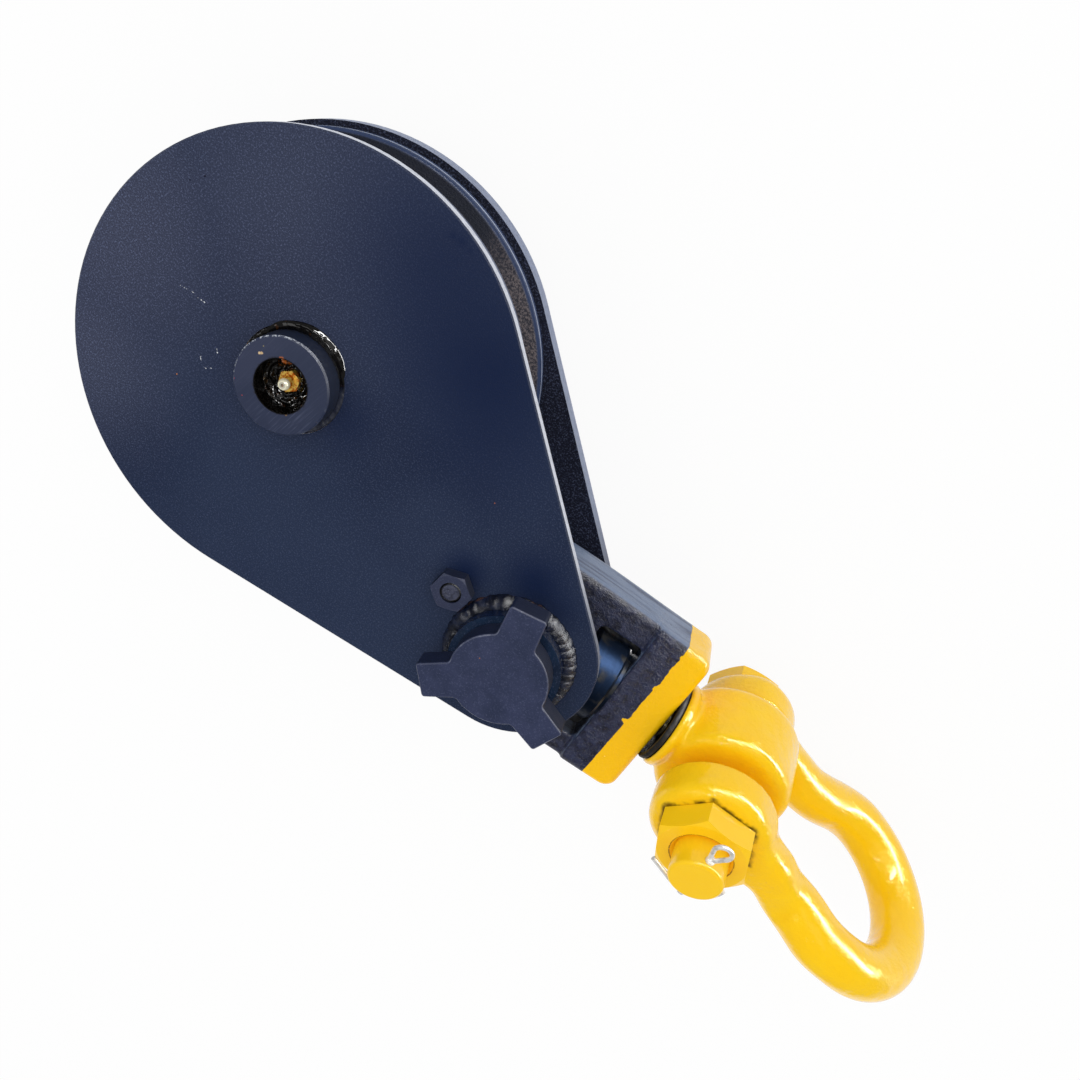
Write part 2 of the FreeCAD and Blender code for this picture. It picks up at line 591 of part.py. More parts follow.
def swivel_eye():
    """Swivel forged in one: shank, collar, neck and the drum that the shackle bolt passes."""
    end = YOKE_BIGHT + SWIVEL_END_SHORT
    start = COLLAR_FACE
    collar_end = start + SWIVEL_COLLAR_LENGTH
    neck_end = EYE_DISTANCE - EYE_R / 2
    stem = turned_about_x([
        (end, 0), (end, SWIVEL_SHANK_R - SWIVEL_END_BREAK), (end + SWIVEL_END_BREAK, SWIVEL_SHANK_R),
        (start, SWIVEL_SHANK_R), (start, SWIVEL_COLLAR_R - SWIVEL_COLLAR_BREAK),
        (start + SWIVEL_COLLAR_BREAK, SWIVEL_COLLAR_R), (collar_end, SWIVEL_COLLAR_R),
        (collar_end + SWIVEL_COLLAR_R - NECK_R, NECK_R), (neck_end, NECK_R), (neck_end, 0)])
    drum = rod(EYE_R, -EYE_HALF_WIDTH, EYE_HALF_WIDTH, EYE_DISTANCE)
    rims = []
    for level in (-EYE_HALF_WIDTH, EYE_HALF_WIDTH):
        rims += edges_on_circle(drum, level, EYE_R, EYE_DISTANCE)
    drum = drum.makeFillet(EYE_ROUND, rims)
    body = stem.fuse(drum).removeSplitter()
    body = body.cut(rod(BOLT_R + BOLT_PLAY, -EYE_HALF_WIDTH - 1, EYE_HALF_WIDTH + 1, EYE_DISTANCE))
    return body.cut(nut_pin_hole())


def nut_pin_hole():
    """Cross hole for the pin that locks the swivel's nut."""
    reach = SWIVEL_NUT_R + 1
    return rod(NUT_PIN_R + SEAT_FIT, -reach, reach, SWIVEL_NUT_FRONT + NUT_PIN_DISTANCE)


def swivel_nut():
    """Round nut in the yoke's window that carries the swivel."""
    low, high = SWIVEL_NUT_FRONT, SWIVEL_NUT_BACK
    c = SWIVEL_NUT_BREAK
    inner = SWIVEL_SHANK_R + SEAT_FIT
    nut = turned_about_x([
        (low, inner), (low, SWIVEL_NUT_R - c), (low + c, SWIVEL_NUT_R),
        (high - c, SWIVEL_NUT_R), (high, SWIVEL_NUT_R - c), (high, inner)])
    return nut.cut(nut_pin_hole())


def swivel_nut_pin():
    """Pin driven across the nut and the shank."""
    reach = SWIVEL_NUT_R - SWIVEL_NUT_BREAK
    return rod(NUT_PIN_R, -reach, reach, SWIVEL_NUT_FRONT + NUT_PIN_DISTANCE)


def swivel_washer():
    """Bearing washer between the nut and the yoke's base."""
    high = BASE_FACE - SEAT_FIT
    ring = rod_along_x(SWIVEL_WASHER_R, BASE_FACE - SWIVEL_WASHER_THICKNESS, high)
    return ring.cut(rod_along_x(SWIVEL_SHANK_R + SEAT_FIT, 0, YOKE_LENGTH))


def shoulder_start():
    """Distance from the bolt's axis at which a straight leg turns outwards."""
    across = EAR_MIDDLE + SHOULDER_R
    return CROWN_DISTANCE - math.sqrt((SHOULDER_R + CROWN_R) ** 2 - across ** 2)


def bow_path():
    """Mid-line of the bow: leg, outward arc, crown, outward arc and leg, each touching the next."""
    start = shoulder_start()
    across = EAR_MIDDLE + SHOULDER_R
    share = CROWN_R / (SHOULDER_R + CROWN_R)
    joint_side, joint_ahead = across * share, CROWN_DISTANCE - (CROWN_DISTANCE - start) * share
    half_turn = math.acos(across / (SHOULDER_R + CROWN_R)) / 2
    middle_side = across - SHOULDER_R * math.cos(half_turn)
    middle_ahead = start + SHOULDER_R * math.sin(half_turn)
    points = []
    for side in (1, -1):
        points.append([V(0, 0, side * EAR_MIDDLE), V(start, 0, side * EAR_MIDDLE),
                       V(middle_ahead, 0, side * middle_side), V(joint_ahead, 0, side * joint_side)])
    upper, lower = points
    crown = Part.Arc(upper[3], V(CROWN_DISTANCE + CROWN_R, 0, 0), lower[3]).toShape()
    return Part.Wire([Part.makeLine(upper[0], upper[1]), Part.Arc(*upper[1:]).toShape(), crown,
                      Part.Arc(lower[3], lower[2], lower[1]).toShape(), Part.makeLine(lower[1], lower[0])])


def bow_flare(side):
    """Thickening of a leg as it runs into its ear."""
    low = EAR_R / 2
    high = low + FLARE_LENGTH
    waist = V(FLARE_WAIST_R, 0, low + FLARE_WAIST_DISTANCE)
    curve = Part.Arc(V(FLARE_R, 0, low), waist, V(BAR_R - SEAT_FIT, 0, high)).toShape()
    foot, tip = V(0, 0, low), V(0, 0, high)
    sides = [Part.makeLine(foot, V(FLARE_R, 0, low)), curve,
             Part.makeLine(V(BAR_R - SEAT_FIT, 0, high), tip), Part.makeLine(tip, foot)]
    flare = turned_edges(sides)
    flare.Placement = FreeCAD.Placement(V(0, 0, side * EAR_MIDDLE), FreeCAD.Rotation(V(0, 1, 0), 90))
    return flare


def shackle_bow():
    """Bow forged from round bar, flared into two drilled ears."""
    path = bow_path()
    start = path.Edges[0].valueAt(path.Edges[0].FirstParameter)
    ahead = path.Edges[0].tangentAt(path.Edges[0].FirstParameter)
    bar = path.makePipeShell([Part.Wire(Part.makeCircle(BAR_R, start, ahead))], True, True)
    body = bar.fuse([bow_flare(1), bow_flare(-1)])
    keep_out = rod(EAR_R + BAR_R, -EAR_INNER, EAR_INNER)
    outside = rod(2 * EAR_R, EAR_OUTER, 2 * EAR_OUTER).fuse(rod(2 * EAR_R, -2 * EAR_OUTER, -EAR_OUTER))
    body = body.cut(keep_out.fuse(outside))
    for side in (1, -1):
        low, high = sorted((side * EAR_INNER, side * EAR_OUTER))
        ear = rod(EAR_R, low, high)
        ear = ear.makeFillet(EAR_ROUND, edges_on_circle(ear, side * EAR_OUTER, EAR_R))
        ear = ear.makeFillet(EAR_INNER_ROUND, edges_on_circle(ear, side * EAR_INNER, EAR_R))
        body = body.fuse(ear)
    hole = rod(BOLT_R + BOLT_PLAY, -2 * EAR_OUTER, 2 * EAR_OUTER)
    return body.cut(hole).removeSplitter()


def shackle_bolt():
    """Hexagon-headed bolt with a round end that is drilled for the cotter pin."""
    end = NUT_FACE + BOLT_END_PROUD
    shank = rod(BOLT_R, -NUT_SEAT, end)
    shank = shank.makeFillet(BOLT_END_ROUND, edges_on_circle(shank, end, BOLT_R))
    head = chamfered_hexagon(BOLT_HEAD_AF, NUT_SEAT, NUT_SEAT + BOLT_HEAD_HEIGHT, -BOLT_HEAD_TURN_DEG)
    head.rotate(V(0, 0, 0), V(1, 0, 0), 180)
    hole = Part.makeCylinder(COTTER_R + SEAT_FIT, 4 * BOLT_R, V(0, -2 * BOLT_R, COTTER_LEVEL), V(0, 1, 0))
    hole.rotate(V(0, 0, 0), V(0, 0, 1), COTTER_TURN_DEG)
    return shank.fuse(head).removeSplitter().cut(hole)


def shackle_nut():
    """Heavy hexagon nut of the shackle bolt, countersunk on its outer face."""
    nut = chamfered_hexagon(NUT_AF, NUT_SEAT, NUT_FACE, NUT_TURN_DEG)
    bore = BOLT_R + SEAT_FIT
    sink = turned([(0, NUT_FACE - NUT_SINK), (bore, NUT_FACE - NUT_SINK), (bore + NUT_SINK, NUT_FACE),
                   (bore + NUT_SINK, NUT_FACE + 1), (0, NUT_FACE + 1)])
    return nut.cut(rod(bore, NUT_SEAT - 1, NUT_FACE + 1)).cut(sink)


def wire_along(edges):
    """Round wire of the cotter pin along a chain of edges."""
    path = Part.Wire(edges)
    first = path.Edges[0]
    start = first.valueAt(first.FirstParameter)
    ahead = first.tangentAt(first.FirstParameter)
    return path.makePipeShell([Part.Wire(Part.makeCircle(COTTER_WIRE_R, start, ahead))], True, True)


def cotter_eye():
    """Drop-shaped eye: two straight wires that touch a round end."""
    half = COTTER_R - COTTER_WIRE_R
    foot = COTTER_WIRE_LINE
    middle = BOLT_R + COTTER_EYE_REACH
    reach = math.hypot(middle - foot, half)
    lean = math.asin(COTTER_EYE_R / reach) - math.atan2(half, middle - foot)
    side = COTTER_EYE_R * math.cos(lean)
    back = middle - COTTER_EYE_R * math.sin(lean)
    left, right = V(-side, back, COTTER_LEVEL), V(side, back, COTTER_LEVEL)
    top = V(0, middle + COTTER_EYE_R, COTTER_LEVEL)
    eye = wire_along([Part.makeLine(V(-half, foot, COTTER_LEVEL), left),
                      Part.Arc(left, top, right).toShape(),
                      Part.makeLine(right, V(half, foot, COTTER_LEVEL))])
    eye.rotate(V(0, foot, 0), V(0, 0, 1), -COTTER_EYE_LEAN_DEG)
    return eye


def cotter_leg(wrap_deg, side, straight):
    """Leg bent round the bolt to one side by an angle, with a straight end."""

    def at(angle_deg, ahead=0.0):
        a = math.radians(angle_deg)
        return V(side * (COTTER_WIRE_LINE * math.sin(a) + ahead * math.cos(a)),
                 -COTTER_WIRE_LINE * math.cos(a) + ahead * math.sin(a), COTTER_LEVEL)

    edges = [Part.Arc(at(0), at(wrap_deg / 2), at(wrap_deg)).toShape()]
    if straight:
        edges.append(Part.makeLine(at(wrap_deg), at(wrap_deg, straight)))
    return wire_along(edges)


def cotter_pin():
    """Split pin through the bolt: an eye, a shank and two legs bent opposite ways."""
    far = COTTER_WIRE_LINE + COTTER_WIRE_R
    shank = Part.makeCylinder(COTTER_R, far + COTTER_WIRE_LINE, V(0, -far, COTTER_LEVEL), V(0, 1, 0))
    legs = [cotter_leg(COTTER_WRAP_DEG, 1, 0), cotter_leg(COTTER_BEND_DEG, -1, COTTER_LEG)]
    pin = shank.fuse([cotter_eye()] + legs).removeSplitter()
    pin.rotate(V(0, 0, 0), V(0, 0, 1), COTTER_TURN_DEG)
    return pin


def placed(shape, placement):
    """Copy of a shape moved into a frame."""
    moved = shape.copy()
    moved.Placement = placement.multiply(moved.Placement)
    return moved


def build():
    """All nodes by name, in the block's own frame."""
    nodes = {
        "fixed_side_plate": fixed_side_plate(),
        "center_pin": centre_pin(),
        "grease_fitting": grease_fitting(),
        "pin_keeper": pin_keeper(),
        "keeper_bolts": keeper_bolts(),
        "sheave": sheave(),
        "sheave_bushing": sheave_bushing(),
        "thrust_washer_fixed_side": thrust_washer(-1),
        "thrust_washer_opening_side": thrust_washer(1),
        "trunnion": trunnion(),
        "fixed_hub": fixed_hub(),
        "fixed_hub_weld": weld_bead(FIXED_OUTER, -1),
        "yoke_washer_fixed_side": yoke_washer(FIXED_INNER),
        "yoke_washer_opening_side": yoke_washer(YOKE_TOP + FACE_GAP),
        "opening_side_plate": opening_side_plate(),
        "opening_hub": opening_hub(),
        "opening_hub_weld": weld_bead(OPENING_OUTER, 1),
        "retaining_bolt": retaining_bolt(),
        "retaining_nut": retaining_nut(),
        "lug_pin": lug_pin(),
        "yoke": placed(yoke(), YOKE_PLACE),
        "yoke_bushing": placed(yoke_bushing(), YOKE_PLACE),
        "swivel_eye": placed(swivel_eye(), SWIVEL_PLACE),
        "swivel_nut": placed(swivel_nut(), SWIVEL_PLACE),
        "swivel_nut_pin": placed(swivel_nut_pin(), SWIVEL_PLACE),
        "swivel_washer": placed(swivel_washer(), SWIVEL_PLACE),
        "shackle_bow": placed(shackle_bow(), SHACKLE_PLACE),
        "shackle_bolt": placed(shackle_bolt(), SHACKLE_PLACE),
        "shackle_nut": placed(shackle_nut(), SHACKLE_PLACE),
        "cotter_pin": placed(cotter_pin(), SHACKLE_PLACE),
    }
    return nodes


os.makedirs("parts", exist_ok=True)
for name, shape in build().items():
    shape.exportStep(os.path.join("parts", name + ".step"))
    print(name, "solids", len(shape.Solids), "volume", round(shape.Volume / 1000, 2), "cm3")
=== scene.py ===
"""Finish and fine detail of a snatch block with a bow shackle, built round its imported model.

Lengths are in metres and the frame is the block's own: origin at the sheave's centre, +Z out
through the side plate that opens, +X from the centre pin to the trunnion and the shackle.
"""

import json
import logging
import math
from collections.abc import Callable
from dataclasses import dataclass, replace
from enum import Enum
from functools import reduce
from typing import ClassVar

import bmesh
import bpy
import numpy as np
from mathutils import Matrix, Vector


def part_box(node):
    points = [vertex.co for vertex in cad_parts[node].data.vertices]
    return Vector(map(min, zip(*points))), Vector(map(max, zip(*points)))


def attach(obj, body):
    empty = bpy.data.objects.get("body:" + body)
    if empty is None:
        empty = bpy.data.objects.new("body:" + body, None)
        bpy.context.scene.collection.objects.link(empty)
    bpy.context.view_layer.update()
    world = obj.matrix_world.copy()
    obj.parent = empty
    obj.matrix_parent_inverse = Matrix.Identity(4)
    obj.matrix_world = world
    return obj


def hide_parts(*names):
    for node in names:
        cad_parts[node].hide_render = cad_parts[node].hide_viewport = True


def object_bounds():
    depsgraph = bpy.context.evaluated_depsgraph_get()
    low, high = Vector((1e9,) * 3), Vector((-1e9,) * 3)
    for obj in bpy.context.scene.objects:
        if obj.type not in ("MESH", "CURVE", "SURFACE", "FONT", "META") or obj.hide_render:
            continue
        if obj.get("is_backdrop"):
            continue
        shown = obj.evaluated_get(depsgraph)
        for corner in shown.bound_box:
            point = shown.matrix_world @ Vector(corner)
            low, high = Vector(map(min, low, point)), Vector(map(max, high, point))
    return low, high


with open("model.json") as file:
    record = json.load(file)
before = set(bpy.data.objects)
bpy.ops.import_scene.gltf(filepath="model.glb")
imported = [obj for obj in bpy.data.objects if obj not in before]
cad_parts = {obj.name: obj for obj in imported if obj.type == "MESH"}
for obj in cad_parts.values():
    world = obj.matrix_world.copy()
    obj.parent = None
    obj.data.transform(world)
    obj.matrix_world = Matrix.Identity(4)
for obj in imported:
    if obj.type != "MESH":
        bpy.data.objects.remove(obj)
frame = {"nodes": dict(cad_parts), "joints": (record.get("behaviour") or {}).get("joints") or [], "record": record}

MM = 0.001
Colour = tuple[float, float, float, float]
Triple = tuple[float, float, float]
log = logging.getLogger("snatch_block")


# Colours, boxes and frames


class Side(Enum):
    """Which side plate a piece belongs to, as the sign of its outward direction along Z."""

    OPENING = 1.0
    FIXED = -1.0


def paint(red: float, green: float, blue: float) -> Colour:
    """Linear colour of a paint that is named by its screen values.

    Args:
        red: Red, 0 to 255.
        green: Green, 0 to 255.
        blue: Blue, 0 to 255.

    Returns:
        The linear colour: ((c + 0.055) / 1.055) to the power 2.4 for each channel c.
    """
    channels = (np.array([red, green, blue]) / 255 + 0.055) / 1.055
    linear = np.power(channels, 2.4)
    return (float(linear[0]), float(linear[1]), float(linear[2]), 1.0)


@dataclass(frozen=True)
class Extent:
    """Box of a CAD node at rest."""

    low: np.ndarray
    high: np.ndarray

    @classmethod
    def of(cls, node: str) -> "Extent":
        """The box of the node with this name."""
        low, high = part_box(node)
        return cls(np.array(low), np.array(high))

    @property
    def middle(self) -> np.ndarray:
        """Centre of the box."""
        return (self.low + self.high) / 2

    @property
    def radius(self) -> float:
        """Half the box's length along X: the radius of a piece that is round about Z."""
        return float(self.high[0] - self.low[0]) / 2

    @property
    def top(self) -> float:
        """The box's highest Z."""
        return float(self.high[2])

    def reach(self, x: "Value", y: "Value") -> "Value":
        """Distance from the upright line through the box's middle."""
        return ((x - float(self.middle[0])) ** 2.0 + (y - float(self.middle[1])) ** 2.0).root()


@dataclass(frozen=True)
class Place:
    """A sub-assembly's own frame: its origin and, as columns, its three unit axes."""

    origin: np.ndarray
    axes: np.ndarray

    @classmethod
    def from_joint(cls, joint: str, ahead: np.ndarray, up: np.ndarray) -> "Place":
        """Frame at a joint.

        Args:
            joint: Name of the joint whose point is the origin.
            ahead: Unit vector of the frame's X axis.
            up: Unit vector of the frame's Z axis.

        Returns:
            The right-handed frame.
        """
        origin = np.array(JOINTS[joint]["pos_m"], float)
        return cls(origin, np.column_stack([ahead, np.cross(up, ahead), up]))

    @property
    def turn(self) -> Triple:
        """Euler angles of the axes, as a Mapping node takes them."""
        return tuple(Matrix(self.axes.tolist()).to_euler())

    def to_block(self, points: np.ndarray) -> np.ndarray:
        """Points of this frame as points of the block's frame."""
        return points @ self.axes.T + self.origin

    def to_own(self, points: np.ndarray) -> np.ndarray:
        """Points of the block's frame as points of this frame."""
        return (points - self.origin) @ self.axes


JOINTS = {joint["name"]: joint for joint in frame["joints"]}
MOUNTS = {mount["name"]: mount for mount in frame["record"]["mounts"]}
UP = np.array([0.0, 0.0, 1.0])
SWIVEL_AXIS = np.array(JOINTS["swivel_turn"]["axis"], float)
BOLT_AXIS = np.array(JOINTS["shackle_swing"]["axis"], float)
BOW_AXIS = np.array(MOUNTS["shackle_bow"]["axis"], float)
BLOCK = Place(np.zeros(3), np.eye(3))
YOKE = Place.from_joint("yoke_tilt", SWIVEL_AXIS, UP)
SWIVEL = Place.from_joint("swivel_turn", SWIVEL_AXIS, BOLT_AXIS)
SHACKLE = Place.from_joint("shackle_swing", BOW_AXIS, BOLT_AXIS)
# The file marks on the centre pin's face run along X of this frame.
FILED = Place(np.zeros(3), np.array(Matrix.Rotation(math.radians(93), 3, "Z")))
# The painted shadow on the yoke's end face, and the dark lumps in its window, are centred this far below the
# swivel's axis.
SHADE_DROP = 1.5 * MM
# Width of the shackle's nut across its flats, and how far its hexagon is turned on the bolt.
NUT_FLATS = 52 * MM
NUT_TURN = math.radians(41)


# Shader nodes


class Value:
    """A shader's output socket. Arithmetic on it adds Math nodes to its tree."""

    def __init__(self, shader: "Shader", socket: bpy.types.NodeSocket) -> None:
        """Wraps a socket of a shader."""
        self.shader = shader
        self.socket = socket

    def __add__(self, other: "Value | float") -> "Value":
        """Sum."""
        return self.shader.maths("ADD", self, other)

    __radd__ = __add__

    def __sub__(self, other: "Value | float") -> "Value":
        """Difference."""
        return self.shader.maths("SUBTRACT", self, other)

    def __rsub__(self, other: float) -> "Value":
        """Difference from a number."""
        return self.shader.maths("SUBTRACT", other, self)

    def __mul__(self, other: "Value | float") -> "Value":
        """Product."""
        return self.shader.maths("MULTIPLY", self, other)

    __rmul__ = __mul__

    def __truediv__(self, other: "Value | float") -> "Value":
        """Quotient."""
        return self.shader.maths("DIVIDE", self, other)

    def __pow__(self, other: "Value | float") -> "Value":
        """Power."""
        return self.shader.maths("POWER", self, other)

    def __abs__(self) -> "Value":
        """Size without its sign."""
        return self.shader.maths("ABSOLUTE", self)

    def root(self) -> "Value":
        """Square root."""
        return self.shader.maths("SQRT", self)

    def least(self, other: "Value | float") -> "Value":
        """The smaller of two values."""
        return self.shader.maths("MINIMUM", self, other)

    def most(self, other: "Value | float") -> "Value":
        """The larger of two values."""
        return self.shader.maths("MAXIMUM", self, other)

    def rise(self, start: float, end: float) -> "Value":
        """Smooth step.

        Args:
            start: Value at which the result is 0.
            end: Value at which the result is 1. It may be below start.

        Returns:
            0 to 1 along 3t^2 - 2t^3, where t is the value's share of the way from start to end.
        """
        swap = start > end
        low, high = sorted((start, end))
        return self.shader.value(
            "ShaderNodeMapRange", {"interpolation_type": "SMOOTHSTEP"},
            {"Value": self, "From Min": low, "From Max": high,
             "To Min": float(swap), "To Max": float(not swap)}, "Result")


class Ray(Enum):
    """Kinds of light ray that a finish can tell apart, as the Light Path node names them."""

    CAMERA = "Is Camera Ray"
    GLOSSY = "Is Glossy Ray"
    TRANSMISSION = "Is Transmission Ray"


class Shader:
    """Node tree of a material or a world, with a short call for each kind of node in use."""

    def __init__(self, owner: bpy.types.Material | bpy.types.World) -> None:
        """Empties the tree of a new material or world.

        Args:
            owner: The material or world.
        """
        owner.use_nodes = True
        self.owner = owner
        self.tree = owner.node_tree
        self.tree.nodes.clear()

    def node(self, kind: str, settings: dict | None = None, inputs: dict | None = None) -> bpy.types.Node:
        """Adds a node.

        Args:
            kind: The node's type.
            settings: Its own properties, set before anything else.
            inputs: Numbers, colours or Values for its sockets, by name or place.

        Returns:
            The new node.
        """
        made = self.tree.nodes.new(kind)
        for key, value in (settings or {}).items():
            setattr(made, key, value)
        for key, value in (inputs or {}).items():
            if isinstance(value, Value):
                self.tree.links.new(value.socket, made.inputs[key])
            else:
                made.inputs[key].default_value = value
        return made

    def value(self, kind: str, settings: dict | None = None, inputs: dict | None = None,
              output: int | str = 0) -> Value:
        """Adds a node and gives one of its outputs.

        Args:
            kind: The node's type.
            settings: Its own properties, set before anything else.
            inputs: Numbers, colours or Values for its sockets, by name or place.
            output: The output's name or place.

        Returns:
            The output.
        """
        return Value(self, self.node(kind, settings, inputs).outputs[output])

    def maths(self, operation: str, *terms: Value | float) -> Value:
        """One Math node on its terms."""
        return self.value("ShaderNodeMath", {"operation": operation}, dict(enumerate(terms)))

    def where(self, place: Place = BLOCK, stretch: Triple = (1, 1, 1)) -> Value:
        """Position on the piece, in metres.

        Args:
            place: Frame in which the position is given.
            stretch: Factor along each of the frame's axes. Below 1 it draws a pattern out along it.

        Returns:
            The position as a vector.
        """
        spot = self.value("ShaderNodeTexCoord", output="Object")
        spot = self.value("ShaderNodeMapping", {"vector_type": "TEXTURE"},
                          {"Vector": spot, "Location": tuple(place.origin), "Rotation": place.turn})
        if stretch != (1, 1, 1):
            spot = self.value("ShaderNodeVectorMath", {"operation": "MULTIPLY"}, {0: spot, 1: stretch})
        return spot

    def facing(self) -> tuple[Value, Value, Value]:
        """The surface's own direction, as X, Y and Z shares in the block's frame at rest."""
        return self.parts(self.value("ShaderNodeTexCoord", output="Normal"))

    def parts(self, vector: Value) -> tuple[Value, Value, Value]:
        """X, Y and Z of a vector."""
        split = self.node("ShaderNodeSeparateXYZ", None, {0: vector})
        return tuple(Value(self, socket) for socket in split.outputs)

    def vector(self, x: Value, y: Value, z: Value | float) -> Value:
        """Vector made of three values."""
        return self.value("ShaderNodeCombineXYZ", None, {0: x, 1: y, 2: z})

    def ray(self, kind: Ray) -> Value:
        """1 for light rays of this kind, 0 for others."""
        return self.value("ShaderNodeLightPath", output=kind.value)

    def noise(self, spot: Value, size: float, detail: float = 2.0, rough: float = 0.5) -> Value:
        """Cloudy noise.

        Args:
            spot: Position.
            size: Size of its largest cells, in metres.
            detail: Number of finer octaves.
            rough: Share of each finer octave.

        Returns:
            The noise, 0 to 1 about 0.5.
        """
        return self.value("ShaderNodeTexNoise", None,
                          {"Vector": spot, "Scale": 1 / size, "Detail": detail, "Roughness": rough})

    def blend(self, share: Value | float, under: Value | Colour, over: Value | Colour) -> Value:
        """Lays one colour over another.

        Args:
            share: How much of the upper colour shows, 0 to 1.
            under: Lower colour.
            over: Upper colour.

        Returns:
            The mixed colour.
        """
        return self.value("ShaderNodeMix", {"data_type": "RGBA"}, {0: share, 6: under, 7: over}, 2)

    def bump(self, height: Value, depth: float, below: Value | None = None) -> Value:
        """Relief on the surface.

        Args:
            height: Height of the relief, 0 to 1.
            depth: Depth that a height of 1 stands for, in metres.
            below: Relief under this one.

        Returns:
            The bumped normal.
        """
        inputs = {"Height": height, "Distance": depth, "Strength": 1.0}
        if below is not None:
            inputs["Normal"] = below
        return self.value("ShaderNodeBump", None, inputs)

    def surface(self, **sockets: Value | float | Colour) -> bpy.types.Material:
        """Ends a material's tree in a Principled surface.

        Args:
            sockets: The shader's sockets by name, with _ for a space.

        Returns:
            The finished material.
        """
        inputs = {key.replace("_", " "): value for key, value in sockets.items()}
        self.node("ShaderNodeOutputMaterial", None, {0: self.value("ShaderNodeBsdfPrincipled", None, inputs)})
        return self.owner


# Marks on a surface


def downward(x: Value, y: Value) -> Value:
    """How far a point of the near plate lies down the photograph from the axis that x and y start at."""
    return x * 0.848 - y * 0.53


@dataclass(frozen=True)
class Patch:
    """A round patch of a surface, by its middle and radius."""

    x: float
    y: float
    radius: float

    def away(self, x: Value, y: Value) -> Value:
        """Distance from the patch's middle as a share of its radius."""
        return ((x - self.x) ** 2.0 + (y - self.y) ** 2.0).root() / self.radius


@dataclass(frozen=True)
class Cloud(Patch):
    """A soft patch of another colour on a plate. The pale ones are painted sheen."""

    share: float

    def strength(self, x: Value, y: Value) -> Value:
        """The cloud's share at its middle, falling smoothly to 0 at its radius."""
        return self.away(x, y).rise(1.0, 0.0) * self.share


@dataclass(frozen=True)
class Fleck(Patch):
    """A tiny drop of another colour."""

    colour: Colour

    def over(self, colour: Value, x: Value, y: Value) -> Value:
        """A colour with the drop laid over it."""
        return colour.shader.blend(self.away(x, y).rise(1.1, 0.8), colour, self.colour)


@dataclass(frozen=True)
class Scratch:
    """A thin broken scratch between two points of a plate."""

    x0: float
    y0: float
    x1: float
    y1: float
    width: float

    def mask(self, x: Value, y: Value) -> Value:
        """Where the scratch is.

        Args:
            x: The surface's X.
            y: The surface's Y.

        Returns:
            1 on the scratch: the distance to the line between the points, stepped at half the width.
            The foot of the perpendicular is held between the line's ends.
        """
        run = (self.x1 - self.x0, self.y1 - self.y0)
        length = math.hypot(*run)
        along = ((x - self.x0) * run[0] + (y - self.y0) * run[1]) / length
        foot = along.most(0.0).least(length)
        across = ((x - self.x0 - foot * (run[0] / length)) ** 2.0
                  + (y - self.y0 - foot * (run[1] / length)) ** 2.0).root()
        return across.rise(self.width * 0.7, self.width * 0.3)


# Finishes


@dataclass(frozen=True)
class Finish:
    """A surface finish. Its material is made once and shared by the pieces that carry it."""

    name: str
    made: ClassVar[dict[str, bpy.types.Material]] = {}

    def material(self) -> bpy.types.Material:
        """The finish's material.

        Returns:
            The material with the finish's name, built when it is first asked for.
        """
        if self.name not in Finish.made:
            Finish.made[self.name] = self.build(Shader(bpy.data.materials.new(self.name)))
        return Finish.made[self.name]

    def build(self, shader: Shader) -> bpy.types.Material:
        """Builds the material on an empty shader. Each finish has its own."""
        raise NotImplementedError

    def dress(self, piece: bpy.types.Object) -> None:
        """Puts the finish on a piece.

        Args:
            piece: A CAD node's object or a new piece.
        """
        if not piece.material_slots:
            piece.data.materials.append(self.material())
        for slot in piece.material_slots:
            slot.material = self.material()


